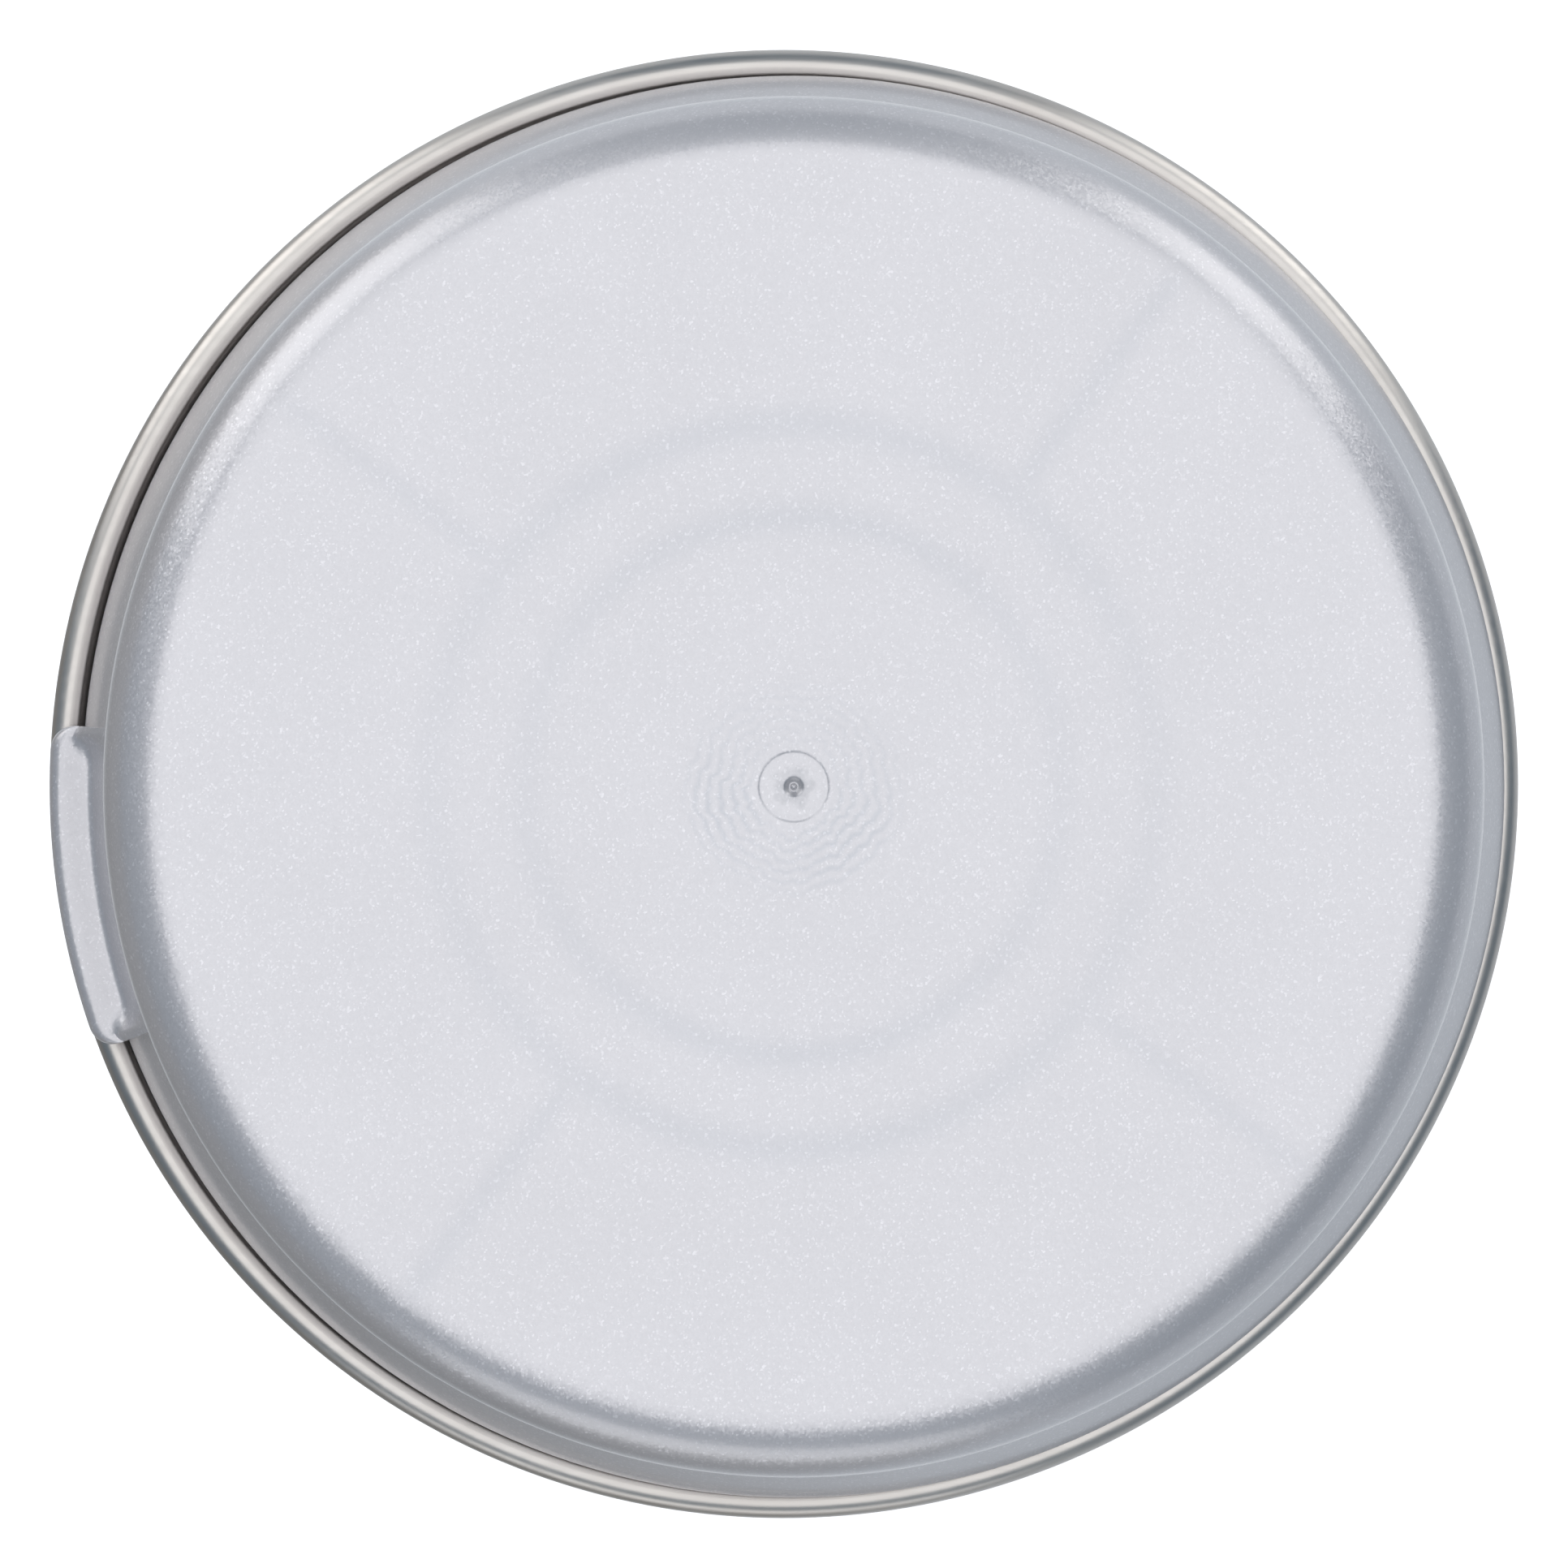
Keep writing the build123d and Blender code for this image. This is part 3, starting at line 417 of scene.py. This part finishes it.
def folded(corners, bends, sheet, steps=7):
    """Closed outline of a sheet of even thickness about a mid line of straight runs and round bends.

    Each side is the mid line moved by half a sheet along the corner's mitre: the sum of both runs' normals
    over 1 + the cosine between them. A bend gains or loses half a sheet, by the way that it turns.
    """
    corners, bends = np.asarray(corners, float), np.asarray(bends, float)
    runs = np.diff(corners, axis=0)
    runs = runs / np.hypot(*runs.T)[:, None]
    normals = runs[:, ::-1] * [-1, 1]
    cosines = (normals[:-1] * normals[1:]).sum(axis=1)[:, None]
    mitres = np.vstack([normals[:1], (normals[:-1] + normals[1:]) / (1 + cosines), normals[-1:]]) * sheet / 2
    turns = np.sign(runs[:-1, 0] * runs[1:, 1] - runs[:-1, 1] * runs[1:, 0]) * sheet / 2
    left = rounded(corners + mitres, bends - turns, steps)
    right = rounded(corners - mitres, bends + turns, steps)
    return densified(np.vstack([left, right[::-1]]), 4.0)


SEAM_BENDS = [0.26, 0.26, 0.62, 0.55]


def end_seam(rim_z, inwards):
    """Mid line of an end's double seam from its hook: heights are counted from the rim, into the can."""
    depths = [(33.14, 0.9), (33.14, 2.93), (33.74, 2.93), (33.74, 0.17), (32.54, 0.17)]
    return [(r, rim_z + inwards * depth) for r, depth in depths]


print("a flat strip 10 mm long has", len(folded([(0, 0), (10, 0)], [], 0.34)), "outline points")

# %% Domed top
DOME = [(32.54, 154.2), (29.8, 154.2), (28.6, 161.8), (21.87, 170.83), (12.87, 177.6), (12.87, 181.6)]
CURL = [(15.43, 181.6), (15.43, 179.1), (14.0, 179.1)]
dome = folded(end_seam(BODY_HEIGHT, -1) + DOME + CURL, SEAM_BENDS + [0.9, 0.9, 12, 20, 1.5, 1.2, 1.2, 0.9], 0.34)
make_piece("domed_top", [shell(around(dome, FINE), ring=True)], tinplate, "can", "bare_tinplate", "can_dome")

# %% Concave bottom
PANEL = [(0.02, 12.5), (13.0, 12.5), (27.0, 6.0), (32.54, 4.6)]
bottom = folded(PANEL + end_seam(0, 1)[::-1], [30, 12, 1.2] + SEAM_BENDS[::-1], 0.34)
make_piece("concave_bottom", [shell(around(bottom, FINE))], tinplate, "can", "bare_tinplate", "can_bottom")

# %% [markdown]
# The body is a cylinder with a hook at each end. The weld down its back is a row of overlapping nuggets, made
# by a wheel that presses while the current pulses, so its height rises and falls once for each pulse.

# %% Body and weld
body = folded(
    [(33.44, 2.37), (33.44, 0.47), (32.84, 0.47), (32.84, 158.33), (33.44, 158.33), (33.44, 156.43)],
    [0.26] * 4, 0.22,
)
WELD_HALF, WELD_LOW, WELD_HIGH, PULSE = 0.4, 3.7, 155.1, 1.1
around_weld = np.linspace(0, TURN, 16, endpoint=False)[None, :]
up = np.linspace(WELD_LOW, WELD_HIGH, 700)[:, None]
swell = 0.75 + 0.25 * np.cos(TURN * up / PULSE)
weld = np.stack([
    WELD_HALF * np.cos(around_weld) * (0.9 + 0.1 * swell),
    32.93 + (0.08 * swell) * np.sin(around_weld),
    up + 0 * around_weld,
], axis=-1)
make_piece(
    "printed_body", [shell(around(body, FINE), ring=True), shell(weld)], printed, "can", "printed_tinplate", "can_body"
)

# %% [markdown]
# The valve cup is folded over the dome's curl, with its gasket between. Below the curl a tool with eight
# jaws spreads the cup's wall outwards, and this crimp is what holds the valve. The jaws leave eight shallow
# flats, so here the crimp's radius dips slightly eight times on its way round.

# %% Valve cup
LIP = [(16.02, 179.4), (16.02, 182.19), (12.28, 182.19), (12.28, 178.0)]
CRIMP = [(13.05, 176.6), (11.9, 175.4), (11.9, 173.8)]
PEDESTAL = [(5.42, 173.8), (4.92, 179.3), (4.35, 179.95), (4.92, 180.6), (4.92, 183.2), (2.25, 183.2)]
cup = folded(LIP + CRIMP + PEDESTAL, [1.79, 1.79, 0.6, 0.6, 0.6, 0.9, 1.0, 0.3, 0.3, 0.3, 0.4], 0.28)
crimped = around(densified(cup, 0.5), FINE)
bulge = np.clip((np.hypot(crimped[..., 0], crimped[..., 1]) - 12.1) / 0.9, 0, 1)
bulge = bulge * (crimped[..., 2] < 178.0)
jaws = 1 - 0.014 * bulge * np.abs(np.sin(4 * FINE)) ** 6
crimped[..., :2] *= jaws[..., None]
make_piece("valve_cup", [shell(crimped, ring=True)], tinplate, "can", "bare_tinplate", "mounting_cup")

# %% [markdown]
# ## Valve spring
# A compression spring is wire wound on a helix, with its first and last turns closed up so that it stands
# square. It gets shorter as the button goes down, but here it only rides on the can. A bent curve object
# could make it too, but a circle carried along the helix as one array gives the same wire.

# %% Valve spring
WIRE_R, COIL_R, TURNS, PRESS = 0.2, 2.0, 5, 1.5
spring_low, spring_high = (np.array(corner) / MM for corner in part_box("valve_spring"))
turns_done = np.linspace(0, TURNS, 241)[:, None]
rise = spring_high[2] - spring_low[2] - 2 * WIRE_R
closed = 2.1 * WIRE_R
climb = np.interp(turns_done, [0, 1, TURNS - 1, TURNS], [0, closed, rise - closed, rise])
swept = TURN * turns_done
section = TURN * np.arange(12) / 12
out = COIL_R + WIRE_R * np.cos(section)
height = spring_low[2] + WIRE_R + climb + WIRE_R * np.sin(section)
coil = np.stack([out * np.cos(swept), out * np.sin(swept), height], axis=-1)
wire = finishes["spring_steel"]
spring = make_piece("valve_coil_spring", [shell(coil)], wire, "can", "spring_steel", "valve_spring")
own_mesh(spring)

# %% [markdown]
# ## The overcap: sizes and outline
# The overcap is one moulding. Outside, its outline is a flat top, a round edge, a wall with one degree of
# draft, a flared foot and a seat. Inside come the plug lip, the inner wall and the underside of the top. It
# could be turned as it stands, but a thumb tab grows from the foot on the left. So the outline is cut in
# three: the part above the tab, the part that changes at the tab, and the part below.

# %% Overcap sizes
CAP_TOP = cap_high[2]
LIP_END = cap_low[2]
SEAT = 158.82
FLARE_Z, FLARE_R, BASE_R = 163.22, 31.25, 32.85
TOP_R = FLARE_R - (CAP_TOP - FLARE_Z) * np.tan(np.radians(1.0))
EDGE_R = 3.0
PLATE = CAP_TOP - 1.3
TAB_ANGLE, TAB_HALF = 188.0, 12.9
TAB_R, TAB_TOP, TAB_UNDER = 34.3, 160.3, 159.1
RIB_ANGLES = TAB_ANGLE + 45.0 + 90.0 * np.arange(4)
print(f"cap axis at ({CAP_X:.3f}, {CAP_Y:.3f}) mm, wall radius {TOP_R:.2f} to {FLARE_R} mm")

# %% Overcap outline
flare_slope = (BASE_R - FLARE_R) / (FLARE_Z - SEAT)
above_tab = np.array([FLARE_R + (FLARE_Z - 162.7) * flare_slope, 162.7])
below_tab = np.array([FLARE_R + (FLARE_Z - TAB_UNDER) * flare_slope, TAB_UNDER])
root = [FLARE_R + (FLARE_Z - TAB_TOP) * flare_slope, TAB_TOP]
DISC = np.concatenate([
    np.arange(0.04, 1.8, 0.06), np.arange(1.8, 5.8, 0.1), np.arange(6.0, 10.4, 0.8), np.arange(10.4, 13.6, 0.22),
    np.arange(13.8, 14.4, 0.3), np.arange(14.4, 17.9, 0.22), np.arange(18.2, TOP_R - EDGE_R, 0.8),
])
disc = np.stack([DISC, np.full(len(DISC), CAP_TOP)], axis=1)
edge = rounded([(DISC[-1], CAP_TOP), (TOP_R, CAP_TOP), (FLARE_R, FLARE_Z), above_tab], [EDGE_R, 2.0], steps=18)
upper = np.vstack([disc, densified(edge[1:-1], 9.0)])
tab = densified(
    rounded([above_tab, root, (TAB_R, TAB_TOP), (TAB_R, TAB_UNDER), below_tab], [0.5, 0.6, 0.3], steps=6), 0.35
)
lower = rounded(
    [below_tab, (BASE_R, SEAT), (31.85, SEAT), (31.85, LIP_END), (30.95, LIP_END), (30.95, SEAT + 1.5),
     (FLARE_R - 1.1, FLARE_Z), (TOP_R - 1.08, PLATE), (0.05, PLATE)],
    [0.1, 0, 0.25, 0.25, 0, 0.6, 1.8], steps=6,
)[1:]
lower = densified(lower, 9.0)
print("outline points above, at and below the tab:", len(upper), len(tab), len(lower))

# %% [markdown]
# ## The overcap: thumb tab and gussets
# Away from the tab, the middle part of the outline is a straight piece of the flare. At the tab it runs out
# along a ledge and back. At each end of the tab a thin gusset leans from the ledge up to the flare. All three
# outlines get the same number of points, so that each column of the grid is a blend of them, and weights
# that depend on the distance from the tab's end do the shaping. A boolean could fuse a ledge to the cap, but
# blended outlines give one clean skin with real fillets.

# %% Columns of the grid
GUSSET_TOE = 33.35
CORNER = 1.2
to_mm = np.radians(1.0) * TAB_R
inside = np.concatenate([
    [0, 0.04, 0.1, 0.17, 0.25, 0.34, 0.45, 0.58, 0.72, 0.88, 1.05, 1.25, 1.5, 1.75, 2.0, 2.3, 2.7],
    np.arange(3.2, TAB_HALF * to_mm, 0.55),
])
outside = np.array([1e-4, 0.12, 0.35, 0.8, 1.5])
from_centre = np.concatenate([TAB_HALF - inside / to_mm, TAB_HALF + outside / to_mm])
tab_columns = np.concatenate([TAB_ANGLE - from_centre, TAB_ANGLE + from_centre])
near_rib = np.array([0, 0.35, 0.7, 1.05, 1.4, 1.8, 2.3, 2.9, 3.7, 4.8, 6.2])
rib_columns = (RIB_ANGLES[:, None] + np.concatenate([-near_rib[1:], near_rib])).ravel()
plain_columns = np.arange(0, 360, 1.8)


def apart(columns, others, gap):
    """The columns that are at least a gap away from each of some others, in degrees, round the circle."""
    away = np.abs((columns[:, None] - others + 180) % 360 - 180)
    return columns[away.min(axis=1) > gap]


plain_columns = apart(apart(plain_columns, rib_columns, 0.8), np.linspace(-15.6, 15.6, 40) + TAB_ANGLE, 0.8)
columns = np.sort(np.concatenate([tab_columns, rib_columns, plain_columns]) % 360)
within = (TAB_HALF - np.abs((columns - TAB_ANGLE + 180) % 360 - 180)) * to_mm
print(len(columns), "columns,", int((within >= 0).sum()), "of them across the tab")

# %% Blending the three outlines
run = np.concatenate([[0], np.cumsum(np.hypot(*np.diff(tab, axis=0).T))])
plain = above_tab + (below_tab - above_tab) * (run / run[-1])[:, None]
toe_run = np.interp(GUSSET_TOE, tab[:np.argmax(tab[:, 0]), 0], run[:np.argmax(tab[:, 0])])
toe = np.array([GUSSET_TOE, TAB_TOP])
lean = above_tab + (toe - above_tab) * np.minimum(run / toe_run, 1)[:, None]
gusset = np.where((run < toe_run)[:, None], lean, tab)

x = np.clip(within, 0, None)[None, :]
reach = TAB_R - CORNER + np.sqrt(np.clip(CORNER**2 - np.clip(CORNER - x, 0, None) ** 2, 0, None))
ledge_start = root[0] + 0.5
stretch = (reach - ledge_start) / (TAB_R - ledge_start)
raised = np.where(x < 0.45, 1.0, np.clip(1 - (x - 0.45) / 1.6, 0, 1) ** 2)
drawn_in = 1 - 0.1 * (1 - np.sqrt(np.clip(1 - np.clip(1 - x / 0.22, 0, 1) ** 2, 0, 1)))
there = (within >= 0).astype(float)[None, :]
height_z = tab[:, 1:] + raised * (gusset - tab)[:, 1:]
radial = tab[:, :1] + raised * (gusset - tab)[:, :1]
radial = np.where(radial > ledge_start, ledge_start + (radial - ledge_start) * stretch, radial)
tab_r = plain[:, :1] + there * drawn_in * (radial - plain[:, :1])
tab_z = plain[:, 1:] + there * drawn_in * (height_z - plain[:, 1:])
print("the tab reaches a radius of", round(tab_r.max(), 2), "mm")

# %% [markdown]
# ## The overcap: marks of its moulding
# The top is not quite flat. Plastic shrinks more where it is thick, so the tube, the ring and the four ribs
# underneath pull faint grooves into it. The plastic came in at the centre, which leaves a small dished gate
# with a pit and a few wavering ripples round it. Most are hundredths of a millimetre deep. They are real
# geometry here: each is a smooth function of radius and angle, and together they are taken off the height.

# %% Grooves, gate and ripples
# Both depths are guesses, as such marks are too shallow to measure from above.
SINK, RIPPLE = 0.045, 0.022
GATE_R, PIT_R = 1.5, 0.5


def bell(distance, width):
    """1 in the middle, falling as exp(-(distance / width) ** 2)."""
    return np.exp(-((distance / width) ** 2))


def ease(value, start, end):
    """0 before start, 1 after end, and 3 t ** 2 - 2 t ** 3 between."""
    t = np.clip((value - start) / (end - start), 0, 1)
    return t * t * (3 - 2 * t)


angles = np.radians(columns)[None, :]
r = upper[:, :1]
sink = SINK * (bell(r - 11.9, 0.7) + bell(r - 16.05, 0.8)) * np.ones_like(angles)
for rib in np.radians(RIB_ANGLES):
    ahead = np.cos(angles - rib) > 0
    along = ease(r, 16.2, 17.6) * (1 - ease(r, 27.4, 29.4))
    sink = sink + SINK * ahead * bell(r * np.sin(angles - rib), 0.62) * along
gate = 0.05 * (1 - ease(r, GATE_R - 0.12, GATE_R + 0.04)) + 0.05 * bell(r - GATE_R, 0.08)
pit = 0.24 * (1 - ease(r, 0.14, PIT_R)) - 0.14 * (1 - ease(r, 0.06, 0.2))
wobble = 0.13 * np.sin(5 * angles) + 0.09 * np.sin(9 * angles + 1) + 0.06 * np.sin(17 * angles + 2 + 2 * r)
wobble = wobble + 0.05 * np.sin(31 * angles + 3 * r) + 0.1 * np.sin(2 * angles + r)
below, left = np.radians(-45), np.radians(195)
lobes = 0.3 + 0.7 * np.maximum(bell(np.sin((angles - below) / 2), 0.45), bell(np.sin((angles - left) / 2), 0.35))
waves = (0.5 + 0.5 * np.cos(TURN * (r + wobble) / 0.52)) ** 2
ripple = RIPPLE * waves * ease(r, 1.6, 2.2) * (1 - ease(r, 3.9, 5.4)) * lobes
on_top = np.where(r < TOP_R - 1.0, 1.0, 0.0)
marks = (sink + gate + pit + ripple) * on_top
upper_r = upper[:, :1] * np.ones_like(angles)
upper_z = upper[:, 1:] - marks
print("deepest mark", round(marks.max(), 3), "mm")

# %% The overcap's skin
lower_r, lower_z = (lower[:, k:k + 1] * np.ones_like(angles) for k in (0, 1))
skin_r = np.vstack([upper_r, tab_r, lower_r])
skin_z = np.vstack([upper_z, tab_z, lower_z])
skin = np.stack([CAP_X + skin_r * np.cos(angles), CAP_Y + skin_r * np.sin(angles), skin_z], axis=-1)
print("the skin is a grid of", skin.shape[0], "by", skin.shape[1])

# %% [markdown]
# ## The overcap: what is inside it
# Underneath hang an inner tube that centres the cap over the valve cup, a second ring, four ribs and four
# stop lugs. The tube and the ring are turned. A rib is an outline with round corners carried outwards
# along a radius. Each goes a little way into the plastic that it grows from, as the parts of a fused solid do.

# %% Tube, ring, ribs and lugs
ROOT = PLATE + 0.4
CUP_TOP = 182.33


def tube_r(z):
    """Inside radius of the drafted tube: it widens by tan 3.5 degrees for each millimetre down."""
    return 16.70 + (CUP_TOP - z) * np.tan(np.radians(3.5))


def wall_r(z):
    """Radius half way through the wall: along the draft, then along an arc inside the round edge."""
    straight = FLARE_R - 0.55 - (z - FLARE_Z) * np.tan(np.radians(1.0))
    arc = TOP_R - EDGE_R + np.sqrt(np.clip((EDGE_R - 0.55) ** 2 - (z - CAP_TOP + EDGE_R) ** 2, 0, None))
    return np.where(z > CAP_TOP - EDGE_R, np.minimum(arc, straight), straight)


def plate_on_radius(inner, outer, low_z, high_z, angle, thickness=0.8):
    """Plate on a radius: a section in (side, z) with round lower corners, carried from inner(z) to outer(z)."""
    half = thickness / 2
    section = rounded([(-half, high_z), (-half, low_z), (half, low_z), (half, high_z)], [0.3, 0.3], steps=4)
    section = densified(section, 0.8)
    side, z = section[:, 0], section[:, 1]
    share = np.linspace(0, 1, 12)[:, None]
    out = inner(z) + share * (outer(z) - inner(z))
    cos, sin = np.cos(np.radians(angle)), np.sin(np.radians(angle))
    return np.stack([CAP_X + out * cos - side * sin, CAP_Y + out * sin + side * cos, z + 0 * out], axis=-1)


bead = [(tube_r(179.1), 179.1), (16.66, 178.6), (tube_r(178.1), 178.1), (tube_r(178), 178), (tube_r(178) + 0.8, 178)]
tube = rounded([(tube_r(ROOT), ROOT), *bead, (tube_r(ROOT) + 0.8, ROOT)], [0.4, 0.3, 0, 0.1, 0.25], steps=4)
ring = rounded([(11.5, ROOT), (11.5, PLATE - 5), (12.3, PLATE - 5), (12.3, ROOT)], [0.25, 0.25], steps=4)
shells = [shell(skin)]
for outline in (tube, ring):
    shells.append(shell(around(densified(outline, 6.0), even_angles(180), (CAP_X, CAP_Y)), ring=True))
for angle in RIB_ANGLES:
    rib = plate_on_radius(lambda z: tube_r(z) + 0.4, wall_r, PLATE - 10, ROOT, angle)
    lug = plate_on_radius(lambda z: 13.25 + 0 * z, lambda z: tube_r(z) + 0.4, CUP_TOP + 0.02, CUP_TOP + 6.02, angle)
    shells += [shell(rib), shell(lug)]
overcap = make_piece("overcap_moulding", shells, pearl, "cap", "pearl_plastic", "overcap")

# %% [markdown]
# Where the plastic sank or rippled, the pearl plastic gets a darker tone: painted shade in the grooves and
# ripples. The same arrays that shaped those marks say how much, point by point, and go to the mesh as an
# attribute that the pearl plastic reads. A pattern drawn in the material could only guess where the grooves
# are. The grooves alone hardly show under so large a light, so this painted shade is what makes them seen.
# Sink marks also get about twice the painted shade at the front and back that they get at the sides. That is
# a choice for looks and not something that the plastic does by itself.

# %% Painted shade in the sink grooves and ripples
# painted shade about twice as strong at the front and back as at the sides
shade_side_weight = 0.45 + 0.55 * np.sin(angles) ** 2
painted_shade_amount = (0.14 * shade_side_weight * sink / SINK + 0.28 * ripple / RIPPLE) * on_top
shade_in_marks = np.zeros(len(overcap.data.vertices), np.float32)
shade_in_marks[:painted_shade_amount.size] = np.clip(painted_shade_amount, 0, 1).ravel()
overcap.data.attributes.new("painted_mark_shade", "FLOAT", "POINT").data.foreach_set("value", shade_in_marks)
# prints the strongest painted shade
print("flakes lie askew by up to", round(float(shade_in_marks.max()), 2))

# %% [markdown]
# ## Floor, light and camera
# The can stands on a plain white floor that glows a little, like a light table, so that the ground is even
# and nearly free of shadow. A white floor that fills a room would wash out every reflection from below, so
# what the can mirrors of it is painted: a pool of light, white near the can and a pale grey further off, and
# painted shade on one side, where a flag would stand. A Light Path node tells the camera's own view of the
# floor from all other rays, so the floor that is seen stays plain. A large soft light hangs overhead. Two tall
# softboxes stand at the back left and the back right, and give the bright arcs on the cap's round edge and on
# the seam, and a weak one fills in from the front. The world is a dim blue-grey room. The camera looks
# straight down from a metre above the seam.

# %% Floor
FLOOR_SIZE = 8.0
# what the can mirrors of the floor is painted: a pool of light near the can and painted shade on one side
WHITE_NEAR, GREY_FAR = 0.08, 0.2
SHADE_NEAR, SHADE_FAR, SHADE_ANGLE = 0.04, 0.16, np.radians(205)
SHADE_WAY = (np.cos(SHADE_ANGLE), np.sin(SHADE_ANGLE), 0.0)
floor_mesh = bpy.data.meshes.new("floor")
reach = FLOOR_SIZE / 2
corners = [(-reach, -reach, 0), (reach, -reach, 0), (reach, reach, 0), (-reach, reach, 0)]
floor_mesh.from_pydata(corners, [], [(0, 1, 2, 3)])
floor = bpy.data.objects.new("floor", floor_mesh)
bpy.context.scene.collection.objects.link(floor)
paper, graph, place = new_finish("white_paper_floor")
own_light = {"Emission_Color": (1.0, 1.0, 1.0, 1.0), "Emission_Strength": 0.7}
white = add(graph, "BsdfPrincipled", linear("#f4f4f4"), Roughness=0.9, **own_light)
far = add(graph, "VectorMath", place, operation="LENGTH").outputs["Value"]
far = add(graph, "MapRange", far, From_Min=WHITE_NEAR, From_Max=GREY_FAR)
toward_shade = add(graph, "VectorMath", place, SHADE_WAY, operation="DOT_PRODUCT").outputs["Value"]
toward_shade = add(graph, "MapRange", toward_shade, From_Min=SHADE_NEAR, From_Max=SHADE_FAR)
# painted pool of light, then painted shade on one side; only rays other than the camera's see these
mirrored = add(graph, "Mix", far, linear("#ffffff"), linear("#dadde0"), data_type="RGBA")
mirrored = add(graph, "Mix", toward_shade, mirrored, linear("#94928f"), data_type="RGBA")
mirrored = add(graph, "BsdfDiffuse", mirrored)
seen = add(graph, "LightPath").outputs["Is Camera Ray"]
mixed = add(graph, "MixShader", seen, mirrored, white)
add(graph, "OutputMaterial", mixed)
floor_mesh.materials.append(paper)
print("floor of", FLOOR_SIZE, "metres")

# %% Lights and world


def area_light(name, azimuth, elevation, distance, size, power, colour):
    """Softbox that faces a point just above the seam. Its place is given as on a globe round that point."""
    light = bpy.data.lights.new(name, "AREA")
    light.shape, light.size, light.size_y = "RECTANGLE", size[0], size[1]
    light.energy, light.color = power, colour
    lamp = bpy.data.objects.new(name, light)
    bpy.context.scene.collection.objects.link(lamp)
    azimuth, elevation = np.radians(azimuth), np.radians(elevation)
    flat = np.cos(elevation) * distance
    lamp.location = (flat * np.cos(azimuth), flat * np.sin(azimuth), 0.17 + np.sin(elevation) * distance)
    lamp.rotation_euler = (np.pi / 2 - elevation, 0, azimuth + np.pi / 2)
    return lamp


area_light("overhead", 90, 90, 1.6, (2.4, 2.4), 20.6, (1.0, 0.99, 0.98))
area_light("softbox_left", 137, 17, 1.2, (0.8, 1.1), 4.3, (1.0, 0.99, 0.97))
area_light("softbox_right", 49, 17, 1.2, (0.6, 1.1), 3.3, (1.0, 0.99, 0.97))
area_light("fill_front", 262, 8, 1.2, (1.1, 0.6), 1.9, (1.0, 0.99, 0.97))
world = bpy.data.worlds.new("studio")
bpy.context.scene.world = world
world.use_nodes = True
world.node_tree.nodes.clear()
room = add(world.node_tree, "Background", linear("#8495a4"), 0.64)
add(world.node_tree, "OutputWorld", room)
print("four soft lights")

# %% Camera
SEAM_HEIGHT = 158.8
VIEW_WIDTH = 72.36
CAMERA_DISTANCE = 1000.0
camera_data = bpy.data.cameras.new("camera")
camera_data.sensor_width = 36.0
camera_data.lens = camera_data.sensor_width * CAMERA_DISTANCE / VIEW_WIDTH
camera_data.clip_end = 20.0
camera = bpy.data.objects.new("camera", camera_data)
camera.location = (0, 0, (SEAM_HEIGHT + CAMERA_DISTANCE) * MM)
bpy.context.scene.collection.objects.link(camera)
bpy.context.scene.camera = camera
bpy.context.scene.view_settings.view_transform = "Standard"
print("lens", round(camera_data.lens, 1), "mm")

# %% Update the scene
bpy.context.view_layer.update()
